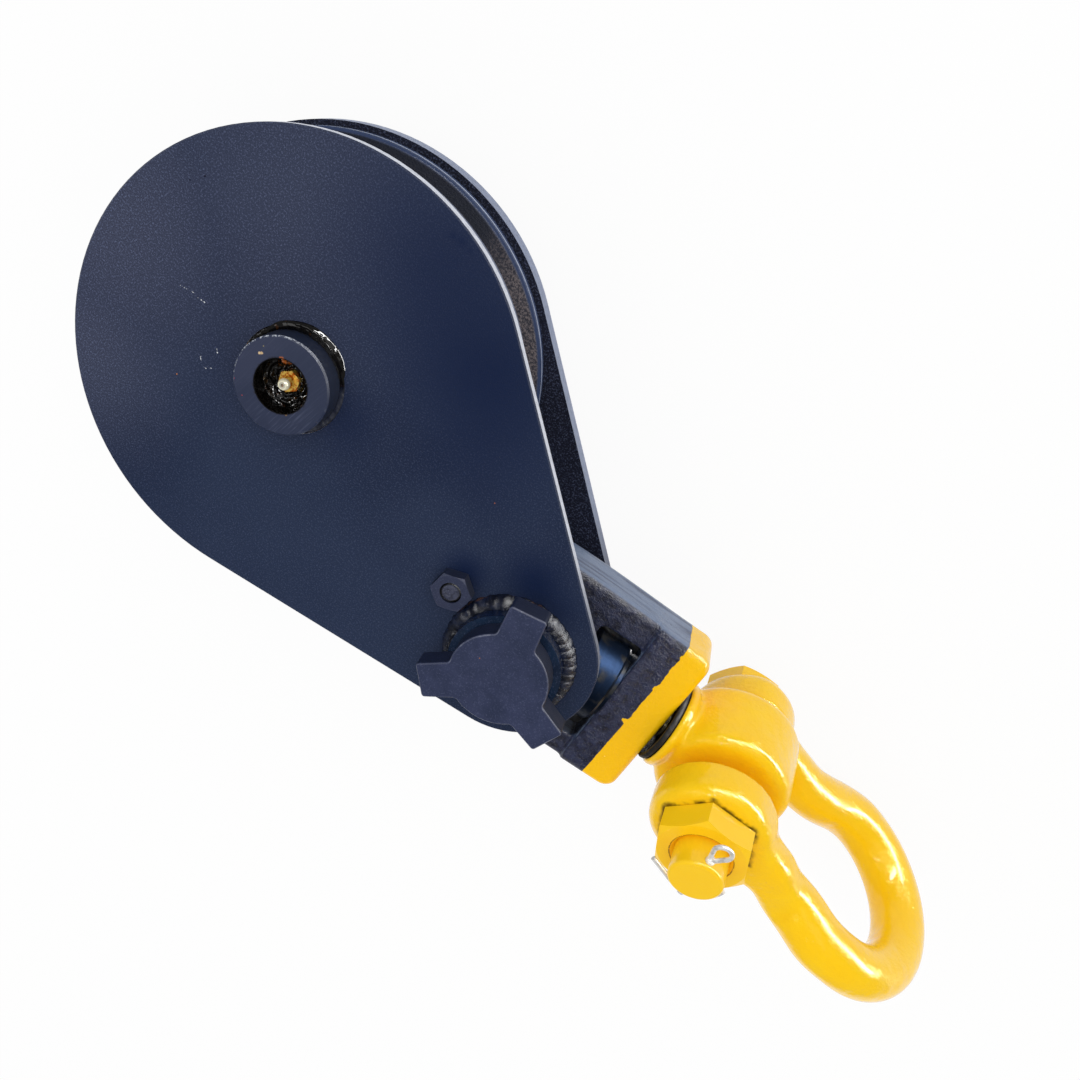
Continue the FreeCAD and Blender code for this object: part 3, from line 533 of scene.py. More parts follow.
@dataclass(frozen=True)
class PlatePaint(Finish):
    """Sprayed navy enamel of a side plate: fine peel, soft clouds, patches of painted sheen and pale cut edges
    with a painted highlight.
    """

    clouds: tuple[Cloud, ...] = ()
    sheen_patches: tuple[Cloud, ...] = ()
    scratches: tuple[Scratch, ...] = ()
    flecks: tuple[Fleck, ...] = ()
    deep: Colour = paint(25, 37, 64)
    light: Colour = paint(36, 48, 74)
    speck: Colour = paint(98, 108, 140)
    pit: Colour = paint(8, 14, 38)
    cloud: Colour = paint(8, 27, 62)
    # Pale colour of the painted sheen patches.
    painted_sheen: Colour = paint(62, 67, 88)
    # Pale colour of the cut edges: a painted highlight.
    edge: Colour = paint(214, 218, 230)
    bare: Colour = paint(232, 236, 240)
    peel: float = 0.95 * MM
    grit: float = 0.42

    def build(self, shader: Shader) -> bpy.types.Material:
        """Enamel under specks, clouds, painted sheen, pale cut edges with a painted highlight and short scratches.

        Args:
            shader: The material's empty shader.

        Returns:
            The finished material.
        """
        spot = shader.where()
        x, y, _ = shader.parts(spot)
        _, aside, lift = shader.facing()
        grain = shader.noise(spot, self.peel, 3.0, 0.65)
        fine = shader.noise(spot, self.peel * 0.5, 2.0, 0.65)
        tone = shader.noise(spot, 110 * MM, 2.0)
        colour = shader.blend(tone.rise(0.3, 0.7), self.deep, self.light)
        grit = self.grit
        # Painted sheen: soft pale patches, with more of the pale specks in them as painted glints.
        if self.sheen_patches:
            sheened = reduce(Value.most, [painted_sheen.strength(x, y) for painted_sheen in self.sheen_patches])
            colour = shader.blend(sheened, colour, self.painted_sheen)
            grit = sheened * 0.45 + 0.2
        colour = shader.blend(grain.rise(0.5, 0.66) * grit, colour, self.speck)
        colour = shader.blend(fine.rise(0.5, 0.34) * grit, colour, self.pit)
        for cloud in self.clouds:
            colour = shader.blend(cloud.strength(x, y), colour, self.cloud)
        broken = shader.noise(spot, 1.6 * MM, 2.0, 0.7).rise(0.5, 0.58)
        for scratch in self.scratches:
            colour = shader.blend(scratch.mask(x, y) * broken, colour, self.bare)
        for fleck in self.flecks:
            colour = fleck.over(colour, x, y)
        # The cut edges that face +Y are painted pale: a painted highlight, broken by noise and fading along +X.
        wall = abs(lift).rise(0.6, 0.35) * aside.rise(-0.3, 0.2)
        worn = shader.noise(spot, 3 * MM, 4.0, 0.7).rise(0.3, 0.6) * 0.25 + 0.75
        edge_highlight_fade = 1 - x.rise(150 * MM, 220 * MM) * 0.6
        colour = shader.blend(wall * worn * edge_highlight_fade, colour, self.edge)
        relief = shader.bump(grain, 0.22 * MM)
        relief = shader.bump(fine, 0.1 * MM, relief)
        return shader.surface(Base_Color=colour, Roughness=0.44, Normal=relief, Specular_IOR_Level=0.11)


@dataclass(frozen=True)
class NavyEnamel(Finish):
    """Navy enamel of a turned or forged piece, paler where its rounded edges are worn, with painted shade on its
    side walls.
    """

    ground: Colour = paint(30, 42, 72)
    other: Colour = paint(42, 54, 88)
    worn: Colour = paint(140, 146, 168)
    speck: Colour = paint(92, 100, 132)
    # Dark colour of the side walls: painted shade.
    wall: Colour = paint(12, 24, 52)
    wear: float = 0.4
    gloss: float = 0.42
    flecks: tuple[Fleck, ...] = ()

    def build(self, shader: Shader) -> bpy.types.Material:
        """Enamel, fine peel, painted shade on the side walls and a broken pale line along the rounded upper edges.

        Args:
            shader: The material's empty shader.

        Returns:
            The finished material.
        """
        spot = shader.where()
        x, y, _ = shader.parts(spot)
        _, _, lift = shader.facing()
        grain = shader.noise(spot, 0.8 * MM, 3.0, 0.6)
        tone = shader.noise(spot, 16 * MM, 3.0)
        colour = shader.blend(tone.rise(0.3, 0.7), self.ground, self.other)
        colour = shader.blend(grain.rise(0.52, 0.7) * 0.3, colour, self.speck)
        # The side walls are painted darker and bluer: painted shade.
        colour = shader.blend(abs(lift).rise(0.5, 0.15) * 0.85, colour, self.wall)
        brink = lift.rise(0.3, 0.75) * lift.rise(0.985, 0.9)
        broken = shader.noise(spot, 22 * MM, 5.0, 0.65).rise(0.48, 0.6)
        colour = shader.blend(brink * (broken * 0.85 + 0.15) * self.wear, colour, self.worn)
        for fleck in self.flecks:
            colour = fleck.over(colour, x, y)
        relief = shader.bump(grain, 0.12 * MM, shader.bump(tone, 0.5 * MM))
        return shader.surface(Base_Color=colour, Roughness=self.gloss, Normal=relief, Specular_IOR_Level=0.3)


@dataclass(frozen=True)
class BossPaint(Finish):
    """The centre pin: enamel over diagonal file marks, scuffs at its rim, rust at its bore and painted shade on
    its side walls.
    """

    rim: float
    bore: float
    top: float
    flecks: tuple[Fleck, ...] = ()
    ground: Colour = paint(28, 40, 70)
    smear: Colour = paint(38, 47, 76)
    mark: Colour = paint(96, 104, 132)
    scuff: Colour = paint(190, 196, 206)
    # Dark colour of the side walls: painted shade.
    flank: Colour = paint(16, 30, 56)
    brink: Colour = paint(24, 18, 16)
    rust: Colour = paint(150, 78, 34)
    grease: Colour = paint(9, 7, 6)
    rusty: Patch = Patch(-10.6 * MM, 11.0 * MM, 1.7 * MM)

    def build(self, shader: Shader) -> bpy.types.Material:
        """Rings about the pin's axis choose between scuffed rim, filed face, rusty brink and greased bore.

        Args:
            shader: The material's empty shader.

        Returns:
            The finished material.
        """
        spot = shader.where()
        x, y, z = shader.parts(spot)
        _, _, lift = shader.facing()
        reach = (x * x + y * y).root()
        smears = shader.noise(spot, 30 * MM, 1.0)
        lines = shader.noise(shader.where(FILED, (0.04, 1.0, 1.0)), 0.6 * MM, 2.0, 0.6)
        face = lift.rise(0.9, 0.97) * z.rise(self.top - 1.5 * MM, self.top - 0.5 * MM)
        colour = shader.blend(smears.rise(0.4, 0.6), self.ground, self.smear)
        lower = (x * 0.98 - y * 0.2).rise(-8 * MM, 16 * MM) * y.rise(12 * MM, -6 * MM)
        colour = shader.blend(face * lines.rise(0.5, 0.7) * (lower * 0.2 + 0.05), colour, self.mark)
        broken = shader.noise(spot, 1.6 * MM, 4.0, 0.7)
        long_break = shader.noise(spot, 9 * MM, 4.0, 0.7)
        edge = reach.rise(self.rim - 1.1 * MM, self.rim - 0.4 * MM)
        edge = edge * z.rise(self.top - 1.6 * MM, self.top - 0.7 * MM)
        upper = (y * 0.26 - x * 0.966).rise(8 * MM, 22 * MM)
        scuffed = broken.rise(0.5, 0.58) * upper * 0.9 + long_break.rise(0.5, 0.6) * 0.08
        colour = shader.blend(edge * scuffed, colour, self.scuff)
        # The side walls are painted darker: painted shade.
        colour = shader.blend(lift.rise(0.6, 0.2) * 0.8, colour, self.flank)
        inside = reach.rise(self.bore + 0.9 * MM, self.bore + 0.1 * MM)
        brink = reach.rise(self.bore + 1.8 * MM, self.bore + 0.3 * MM) * broken.rise(0.5, 0.62)
        colour = shader.blend(brink * face * 0.8, colour, self.brink)
        rusty = self.rusty.away(x, y) + (broken - 0.5) * 2.4
        colour = shader.blend(rusty.rise(1.0, 0.7), colour, self.rust)
        for fleck in self.flecks:
            spread = fleck.away(x, y) + (broken - 0.5) * 2.2
            colour = shader.blend(spread.rise(1.1, 0.9) * face, colour, fleck.colour)
        colour = shader.blend(inside, colour, self.grease)
        return shader.surface(Base_Color=colour, Roughness=0.42 - inside * 0.3,
                              Normal=shader.bump(lines, 0.06 * MM), Specular_IOR_Level=0.4)


@dataclass(frozen=True)
class GreasePaint(Finish):
    """Old black grease, wet and lumpy."""

    amber: float = 0.6
    gloss: float = 0.06
    body: Colour = paint(8, 6, 5)
    glow: Colour = paint(96, 54, 16)
    overspray: Colour = paint(22, 30, 54)
    painted_from: float | None = None
    flecks: tuple[Fleck, ...] = ()

    def build(self, shader: Shader) -> bpy.types.Material:
        """Brown-black body with a few amber spots and a wet skin; past a line, paint lies over it.

        Args:
            shader: The material's empty shader.

        Returns:
            The finished material.
        """
        spot = shader.where()
        x, y, _ = shader.parts(spot)
        dents = shader.noise(spot, 4.5 * MM, 1.0, 0.4)
        amber = shader.noise(spot, 4.0 * MM, 2.0).rise(0.62, 0.72)
        colour = shader.blend(amber * self.amber, self.body, self.glow)
        roughness = self.gloss
        if self.painted_from is not None:
            low = downward(x, y)
            painted = low.rise(self.painted_from - 3 * MM, self.painted_from + 3 * MM)
            colour = shader.blend(painted, colour, self.overspray)
            roughness = painted * 0.4 + self.gloss
        for fleck in self.flecks:
            spread = fleck.away(x, y) + (dents - 0.5) * 1.5
            colour = shader.blend(spread.rise(1.1, 0.7), colour, fleck.colour)
        return shader.surface(Base_Color=colour, Roughness=roughness, Normal=shader.bump(dents, 1.1 * MM),
                              Specular_IOR_Level=0.5)


@dataclass(frozen=True)
class SheavePaint(Finish):
    """The sheave: glossy turned rim with painted highlights on its turning rings and along its edges, and a groove
    that has dried sandy dirt in it.
    """

    rim: float
    half_width: float
    flange: float = 20 * MM
    ground: Colour = paint(56, 70, 104)
    # Pale colour of the painted highlights on the rim.
    shine: Colour = paint(184, 194, 216)
    shade: Colour = paint(12, 17, 34)
    sand: Colour = paint(122, 112, 114)
    sandy_turn: float = math.radians(60)

    def build(self, shader: Shader) -> bpy.types.Material:
        """Turning marks run round the axis; sand lies in the groove on two sides of the wheel.

        Args:
            shader: The material's empty shader.

        Returns:
            The finished material. The cosine of the angle from the sandy direction is near 1 on one
            sandy side and near -1 on the other.
        """
        spot = shader.where()
        x, y, z = shader.parts(spot)
        reach = (x * x + y * y).root()
        rings = shader.noise(shader.vector(reach, z, 0.0), 0.9 * MM, 2.0, 0.6)
        # Paler turning rings: painted sheen along the turning marks.
        colour = shader.blend(rings.rise(0.5, 0.8) * 0.25, self.ground, self.shine)
        # Pale lines along the rim's edges: painted highlights, broken by noise.
        worn = shader.noise(spot, 12 * MM, 4.0, 0.65).rise(0.25, 0.6) * 0.5 + 0.5
        outer_line = abs(abs(z) - self.half_width + 0.7 * MM).rise(1.0 * MM, 0.4 * MM) * 0.7
        inner_line = abs(abs(z) - self.flange - 0.6 * MM).rise(1.1 * MM, 0.4 * MM)
        edge = reach.rise(self.rim - 2.5 * MM, self.rim - 1.2 * MM)
        colour = shader.blend(outer_line.most(inner_line) * worn * edge, colour, self.shine)
        between = abs(z).rise(self.flange + 0.5 * MM, self.flange - 0.5 * MM)
        inside = reach.rise(self.rim - 1.0 * MM, self.rim - 2.5 * MM) * between
        grit = shader.noise(spot, 1.3 * MM, 4.0, 0.75)
        wander = shader.noise(spot, 40 * MM, 3.0)
        toward = (x * math.cos(self.sandy_turn) + y * math.sin(self.sandy_turn)) / reach
        toward = toward + (wander - 0.5) * 0.3
        sector = toward.rise(0.84, 1.0)
        opposite = toward.rise(-0.8, -0.95)
        colour = shader.blend(inside * 0.92, colour, self.shade)
        dirty = inside * sector.most(opposite)
        colour = shader.blend(dirty * (grit.rise(0.42, 0.62) * 0.8 + 0.1), colour, self.sand)
        relief = shader.bump(rings, 0.12 * MM, shader.bump(grit * inside, 0.6 * MM))
        return shader.surface(Base_Color=colour, Roughness=0.24 + inside * 0.4, Normal=relief,
                              Specular_IOR_Level=0.12)


@dataclass(frozen=True)
class WeldPaint(Finish):
    """Paint over a weld bead: nearly black, glossy on the crowns, with painted glints and a rusty line at the toe.
    """

    hub: Extent
    leg: float
    dark: Colour = paint(8, 12, 26)
    pale: Colour = paint(20, 28, 50)
    # Pale colour of the painted glints.
    speck: Colour = paint(110, 118, 140)
    rust: Colour = paint(108, 72, 40)

    def build(self, shader: Shader) -> bpy.types.Material:
        """Distance from the hub's axis places the rusty line; noise breaks it up.

        Args:
            shader: The material's empty shader.

        Returns:
            The finished material.
        """
        spot = shader.where()
        x, y, _ = shader.parts(spot)
        reach = self.hub.reach(x, y)
        fine = shader.noise(spot, 0.8 * MM, 4.0, 0.7)
        tone = shader.noise(spot, 7 * MM, 3.0)
        colour = shader.blend(tone.rise(0.35, 0.65), self.dark, self.pale)
        # Pale specks: painted glints on the bead.
        colour = shader.blend(fine.rise(0.64, 0.72) * 0.2, colour, self.speck)
        foot = self.hub.radius + self.leg
        toe = reach.rise(foot - 0.9 * MM, foot - 0.3 * MM)
        upper = downward(x - float(self.hub.middle[0]), y).rise(-28 * MM, -36 * MM)
        colour = shader.blend(toe * tone.rise(0.5, 0.62) * upper * 0.4, colour, self.rust)
        relief = shader.bump(fine, 0.35 * MM)
        return shader.surface(Base_Color=colour, Roughness=0.06 + tone * 0.12, Normal=relief)


@dataclass(frozen=True)
class YokePaint(Finish):
    """The yoke: rough navy paint over a casting, with its end dipped in yellow, painted lighter on its side faces
    as painted light, and darker in its window and on its end face round the swivel as painted shade.

    Each drip of the dip's edge is a place across, a half width and a reach along the yoke.
    """

    line: float
    half_width: float
    rough_dark: Colour = paint(13, 18, 44)
    rough_light: Colour = paint(46, 52, 82)
    dirt: Colour = paint(80, 74, 76)
    chip: Colour = paint(116, 122, 146)
    # Streaky colours of the side faces, lighter than the near face: painted light on the lit faces.
    lit_flank_deep: Colour = paint(70, 83, 112)
    lit_flank_pale: Colour = paint(112, 127, 154)
    flank_pit: Colour = paint(34, 42, 66)
    # Near black of the window's walls: painted shade.
    hollow: Colour = paint(9, 11, 18)
    yellow: Colour = paint(255, 198, 10)
    # Paler yellow of the side faces: painted light.
    pale: Colour = paint(255, 208, 84)
    # Near black of the end face round the swivel: painted shadow of the collar.
    grease: Colour = paint(22, 15, 8)
    window_half_width: float = 39.6 * MM
    window_middle: float = 50.5 * MM
    window_half_length: float = 15.2 * MM
    window_brow: float = 14.5 * MM
    arm_end: float = 58 * MM
    end: float = 103 * MM
    # Radius of that painted shadow round the swivel's axis.
    greased: float = 31 * MM
    drips: tuple[Triple, ...] = (
        (-6.2 * MM, 2.2 * MM, 3.0 * MM), (-2.0 * MM, 2.0 * MM, -0.5 * MM), (24.0 * MM, 2.4 * MM, 1.0 * MM),
        (30.0 * MM, 4.0 * MM, -0.5 * MM), (41.0 * MM, 3.0 * MM, 0.5 * MM), (51.0 * MM, 1.6 * MM, 1.0 * MM))

    def build(self, shader: Shader) -> bpy.types.Material:
        """Chooses by place in the yoke's frame: flank with painted light, near face, window and end face with
        painted shade, base, and past the paint line yellow.

        Args:
            shader: The material's empty shader.

        Returns:
            The finished material.
        """
        spot = shader.where(YOKE)
        x, y, z = shader.parts(spot)
        _, _, lift = shader.facing()
        pits = shader.noise(spot, 1.6 * MM, 4.0, 0.7)
        lumps = shader.noise(spot, 5.0 * MM, 3.0, 0.6)
        grain = shader.noise(spot, 0.6 * MM, 2.0, 0.6)
        wander = shader.noise(spot, 3.0 * MM, 4.0, 0.6) - 0.5
        streaks = shader.noise(shader.where(YOKE, (0.06, 1.0, 1.0)), 4.5 * MM, 2.0, 0.5)
        side = abs(lift).rise(0.75, 0.3)
        colour = self.casting(x, y, pits, lumps)
        # The side faces are painted lighter and streaky: painted light on the lit faces, over their streaks and
        # pits.
        flank = shader.blend(streaks.rise(0.36, 0.56), self.lit_flank_deep, self.lit_flank_pale)
        flank = shader.blend(pits.rise(0.36, 0.3) * 0.6, flank, self.flank_pit)
        colour = shader.blend(side, colour, flank)
        # The window's walls are painted near black: painted shade.
        colour = shader.blend(self.window(x, y, z) * 0.9, colour, self.hollow)
        dipped = self.dip(x, y, wander)
        # The yellow on the side faces is paler: painted light.
        yellow = shader.blend(side * (streaks.rise(0.3, 0.7) * 0.5 + 0.4), self.yellow, self.pale)
        colour = shader.blend(dipped, colour, yellow)
        # Round the swivel's axis the end face is painted near black: painted shadow of the swivel's collar, with a
        # ragged edge.
        creep = (y * y + (z + SHADE_DROP) ** 2.0).root() + wander * 3 * MM
        creep = creep.rise(self.greased, self.greased - 1.5 * MM)
        at_end = x.rise(self.end - 0.8 * MM, self.end - 0.3 * MM)
        colour = shader.blend(creep * at_end, colour, self.grease)
        base = x.rise(self.arm_end, self.arm_end + 10 * MM)
        roughness = (0.38 - base * 0.2) * (1 - dipped) + dipped * 0.12
        relief = shader.bump(pits * (base * 0.5 + 0.6) * (1 - dipped * 0.8) * (1 - side * 0.75), 1.3 * MM)
        relief = shader.bump(lumps, 0.7 * MM, relief)
        relief = shader.bump(grain, 0.1 * MM, relief)
        relief = shader.bump(dipped, 0.5 * MM, relief)
        return shader.surface(Base_Color=colour, Roughness=roughness, Normal=relief, Specular_IOR_Level=0.45)

    def casting(self, x: Value, y: Value, pits: Value, lumps: Value) -> Value:
        """Navy of the near face.

        Args:
            x: X in the yoke's frame.
            y: Y in the yoke's frame.
            pits: Fine noise of the casting's pits.
            lumps: Coarse noise of its lumps.

        Returns:
            Dark navy on the lumps' low side and paler navy on their high side, dirty along the arms'
            outer edges, with chips where the pits' noise is high.
        """
        shader = x.shader
        colour = shader.blend(lumps.rise(0.3, 0.7), self.rough_dark, self.rough_light)
        near_edge = abs(y).rise(self.half_width - 16 * MM, self.half_width - 5 * MM)
        arm = x.rise(self.arm_end + 14 * MM, self.arm_end)
        colour = shader.blend(near_edge * arm * pits.rise(0.5, 0.7) * 0.45, colour, self.dirt)
        return shader.blend(pits.rise(0.62, 0.7) * 0.4, colour, self.chip)

    def window(self, x: Value, y: Value, z: Value) -> Value:
        """Where the window's walls are, which are painted dark as painted shade.

        Args:
            x: X in the yoke's frame.
            y: Y in the yoke's frame.
            z: Z in the yoke's frame.

        Returns:
            1 within the window's half width and half length and under its brow, with soft edges.
        """
        across = abs(y).rise(self.window_half_width, self.window_half_width - 1.0 * MM)
        along = abs(x - self.window_middle)
        along = along.rise(self.window_half_length, self.window_half_length - 0.8 * MM)
        return across * along * z.rise(self.window_brow, self.window_brow - 3.5 * MM)

    def dip(self, x: Value, y: Value, wander: Value) -> Value:
        """Where the yellow lies.

        Args:
            x: X in the yoke's frame.
            y: Y in the yoke's frame.
            wander: Noise about 0.

        Returns:
            1 past the paint line, which the noise makes ragged and each drip moves by its reach.
        """
        ragged = wander * 1.6 * MM
        edge = x + ragged - (y * 0.02)
        for across, width, reach in self.drips:
            edge = edge + abs(y - across + ragged * 1.5).rise(width, width * 0.3) * reach
        return edge.rise(self.line - 0.2 * MM, self.line + 0.2 * MM)


@dataclass(frozen=True)
class YellowEnamel(Finish):
    """Thick glossy yellow enamel with sags and a fine peel.

    It takes dirt round the nut's foot where seat is the nut's level, a scribed ring where ring is its radius,
    and near-black painted shade up to a given place along the piece's axis.
    """

    place: Place
    sag: float = 0.6 * MM
    peel: float = 0.16 * MM
    gloss: float = 0.1
    ground: Colour = paint(255, 206, 22)
    deep: Colour = paint(255, 196, 8)
    dirt: Colour = paint(60, 38, 10)
    scribed: Colour = paint(110, 68, 12)
    # Near black of the painted shade on the swivel's collar.
    grease: Colour = paint(14, 9, 5)
    tint: Colour = (1.0, 0.8, 0.3, 1.0)
    ring: float | None = None
    seat: float | None = None
    shaded_below: float | None = None

    def build(self, shader: Shader) -> bpy.types.Material:
        """Yellow that deepens in broad random patches, over three sizes of relief.

        Args:
            shader: The material's empty shader.

        Returns:
            The finished material.
        """
        spot = shader.where(self.place)
        x, y, z = shader.parts(spot)
        sags = shader.noise(spot, 11 * MM, 2.0, 0.5)
        peel = shader.noise(spot, 1.7 * MM, 3.0, 0.6)
        grain = shader.noise(spot, 0.7 * MM, 2.0, 0.6)
        tone = shader.noise(spot, 24 * MM, 2.0)
        colour = shader.blend(tone.rise(0.3, 0.7) * 0.35, self.ground, self.deep)
        if self.seat is not None:
            broken = shader.noise(spot, 7 * MM, 2.0, 0.5)
            colour = shader.blend(self.smudge(x, y, z, broken), colour, self.dirt)
        if self.ring is not None:
            off = abs((x * x + y * y).root() - self.ring)
            scribed = off.rise(0.5 * MM, 0.2 * MM) * peel.rise(0.35, 0.5) * 0.8
            colour = shader.blend(scribed, colour, self.scribed)
        # Below the given place along the axis the enamel is painted near black: painted shade in the gap between
        # yoke and collar.
        if self.shaded_below is not None:
            greased = x.rise(self.shaded_below, self.shaded_below - 0.5 * MM)
            colour = shader.blend(greased, colour, self.grease)
        relief = shader.bump(sags, self.sag * 2)
        relief = shader.bump(peel, self.peel * 2, relief)
        relief = shader.bump(grain, self.peel * 0.5, relief)
        return shader.surface(Base_Color=colour, Roughness=self.gloss, Normal=relief, Specular_Tint=self.tint,
                              Specular_IOR_Level=0.5, Coat_Weight=0.4, Coat_Roughness=0.03)

    def smudge(self, x: Value, y: Value, z: Value, broken: Value) -> Value:
        """Dirt round the nut's foot.

        Args:
            x: X in the shackle's frame.
            y: Y in the shackle's frame.
            z: Z in the shackle's frame.
            broken: Noise, 0 to 1.

        Returns:
            How dirty the surface is: 1 where the distance to the nut's hexagon, which is the greatest of
            the distances to its three pairs of sides, is small on the face that the nut sits on. The
            noise breaks it up.
        """
        turns = [NUT_TURN + i * math.pi / 3 for i in range(3)]
        sides = [abs(x * math.cos(turn) + y * math.sin(turn)) for turn in turns]
        off = reduce(Value.most, sides) - NUT_FLATS / 2 - (broken - 0.5) * 3 * MM
        level = abs(z - self.seat).rise(1.8 * MM, 1.2 * MM)
        return off.rise(3.2 * MM, 0.0) * broken.rise(0.28, 0.6) * 0.9 * level


@dataclass(frozen=True)
class BareMetal(Finish):
    """Metal without paint: turned, plated or cast, with stains."""

    metal: Colour
    stain: Colour
    place: Place = BLOCK
    roughness: float = 0.32
    stained: float = 0.4
    grain: float = 1.2 * MM
    streaks: Triple = (1.0, 1.0, 1.0)

    def build(self, shader: Shader) -> bpy.types.Material:
        """Metal and stain by a drawn-out noise, which also sets the relief and the gloss.

        Args:
            shader: The material's empty shader.

        Returns:
            The finished material.
        """
        marks = shader.noise(shader.where(self.place, self.streaks), self.grain, 4.0, 0.65)
        patches = shader.noise(shader.where(self.place), self.grain * 6, 3.0).rise(0.5, 0.7) * self.stained
        streaky = shader.blend(0.5, self.metal, self.stain)
        colour = shader.blend(marks.rise(0.3, 0.7) * 0.4, self.metal, streaky)
        colour = shader.blend(patches, colour, self.stain)
        return shader.surface(Base_Color=colour, Metallic=1.0 - patches,
                              Roughness=self.roughness + marks * 0.2, Normal=shader.bump(marks, 0.12 * MM))


@dataclass(frozen=True)
class SplitPinZinc(Finish):
    """Bright zinc of the split pin, dulled in patches."""

    bright: Colour = paint(236, 236, 234)
    dull: Colour = paint(140, 128, 112)

    def build(self, shader: Shader) -> bpy.types.Material:
        """Zinc, half of it dull, with fine drawing marks in its relief.

        Args:
            shader: The material's empty shader.

        Returns:
            The finished material.
        """
        spot = shader.where()
        patches = shader.noise(spot, 3 * MM, 3.0, 0.6)
        marks = shader.noise(spot, 0.5 * MM, 2.0, 0.6)
        colour = shader.blend(patches.rise(0.45, 0.65) * 0.45, self.bright, self.dull)
        return shader.surface(Base_Color=colour, Metallic=0.35, Roughness=0.16 + patches * 0.15,
                              Normal=shader.bump(marks, 0.05 * MM))


@dataclass(frozen=True)
class BrassFitting(Finish):
    """The grease fitting: a stained brass hexagon and a pale plated head with a worn mouth."""

    box: Extent
    brass: Colour = paint(255, 214, 104)
    stain: Colour = paint(196, 98, 8)
    plating: Colour = paint(250, 244, 214)
    dull: Colour = paint(186, 176, 150)
    worn: Colour = paint(130, 130, 128)
    mouth: Colour = paint(20, 18, 16)

    def build(self, shader: Shader) -> bpy.types.Material:
        """Height tells the head from the hexagon; distance from the axis draws the head's mouth.

        Args:
            shader: The material's empty shader.

        Returns:
            The finished material.
        """
        spot = shader.where()
        x, y, z = shader.parts(spot)
        reach = self.box.reach(x, y)
        head = z.rise(self.box.top - 4.6 * MM, self.box.top - 4.0 * MM)
        stain = shader.noise(spot, 2.2 * MM, 3.0, 0.6)
        colour = shader.blend(stain.rise(0.45, 0.6), self.brass, self.stain)
        face = shader.blend(stain.rise(0.3, 0.7) * 0.3, self.plating, self.dull)
        face = shader.blend(reach.rise(2.0 * MM, 1.7 * MM) * 0.6, face, self.worn)
        face = shader.blend(reach.rise(0.9 * MM, 0.7 * MM), face, self.mouth)
        colour = shader.blend(head, colour, face)
        return shader.surface(Base_Color=colour, Metallic=0.4 - head * 0.3, Roughness=0.08 + head * 0.2,
                              Normal=shader.bump(stain, 0.1 * MM))


@dataclass(frozen=True)
class RoughBolt(Finish):
    """End of a bolt that was cut off and painted: dark, lumpy and glinting, in a ragged black ring."""

    box: Extent
    dark: Colour = paint(34, 38, 58)
    pale: Colour = paint(62, 66, 88)
    chip: Colour = paint(150, 154, 160)
    black: Colour = paint(6, 6, 9)

    def build(self, shader: Shader) -> bpy.types.Material:
        """Navy face with a few bright chips, inside a ring whose inner edge wanders.

        Args:
            shader: The material's empty shader.

        Returns:
            The finished material.
        """
        spot = shader.where()
        x, y, _ = shader.parts(spot)
        reach = self.box.reach(x, y)
        lumps = shader.noise(spot, 1.8 * MM, 3.0, 0.7)
        chips = shader.noise(spot, 0.9 * MM, 3.0, 0.7).rise(0.62, 0.7)
        colour = shader.blend(lumps.rise(0.35, 0.6), self.dark, self.pale)
        colour = shader.blend(chips * 0.6, colour, self.chip)
        ring = (reach + (lumps - 0.5) * 2.2 * MM).rise(4.6 * MM, 5.4 * MM)
        colour = shader.blend(ring, colour, self.black)
        return shader.surface(Base_Color=colour, Roughness=0.28, Normal=shader.bump(lumps, 0.7 * MM))


# Meshes


def waves(angle: np.ndarray, seed: int, low: int, high: int) -> np.ndarray:
    """Smooth random curve round a circle.

    Args:
        angle: Angles in radians, in an array of any shape.
        seed: Seed of its phases.
        low: Fewest waves round the circle.
        high: Most waves round the circle.

    Returns:
        Sum of cosines with random phases, each as strong as the root of low over its number of waves,
        scaled to about -1 to 1.
    """
    random = np.random.default_rng(seed)
    counts = np.arange(low, high + 1)
    phases = random.uniform(0, 2 * np.pi, counts.size)
    weights = np.sqrt(low / counts) * random.uniform(0.5, 1.0, counts.size)
    total = np.cos(np.multiply.outer(angle, counts) + phases) @ weights
    return total / np.abs(weights).sum() * 2.0


def step(values: np.ndarray, start: float, end: float) -> np.ndarray:
    """Smooth step: 3t^2 - 2t^3, where t is the values' share of the way from start to end."""
    share = np.clip((values - start) / (end - start), 0, 1)
    return share * share * (3 - 2 * share)


def placed(name: str, data: bpy.types.ID) -> bpy.types.Object:
    """Puts a mesh, light or camera into the scene.

    Args:
        name: The object's name.
        data: The mesh, light or camera.

    Returns:
        The object, at the origin.
    """
    made = bpy.data.objects.new(name, data)
    bpy.context.scene.collection.objects.link(made)
    return made


def finished(name: str, mesh: bpy.types.Mesh) -> bpy.types.Object:
    """Merges a mesh's doubled points, turns its faces outwards and makes it a smooth piece.

    Args:
        name: The piece's name.
        mesh: The mesh.

    Returns:
        The piece.
    """
    work = bmesh.new()
    work.from_mesh(mesh)
    bmesh.ops.remove_doubles(work, verts=work.verts, dist=1e-6)
    bmesh.ops.recalc_face_normals(work, faces=work.faces)
    work.to_mesh(mesh)
    work.free()
    mesh.shade_smooth()
    return placed(name, mesh)


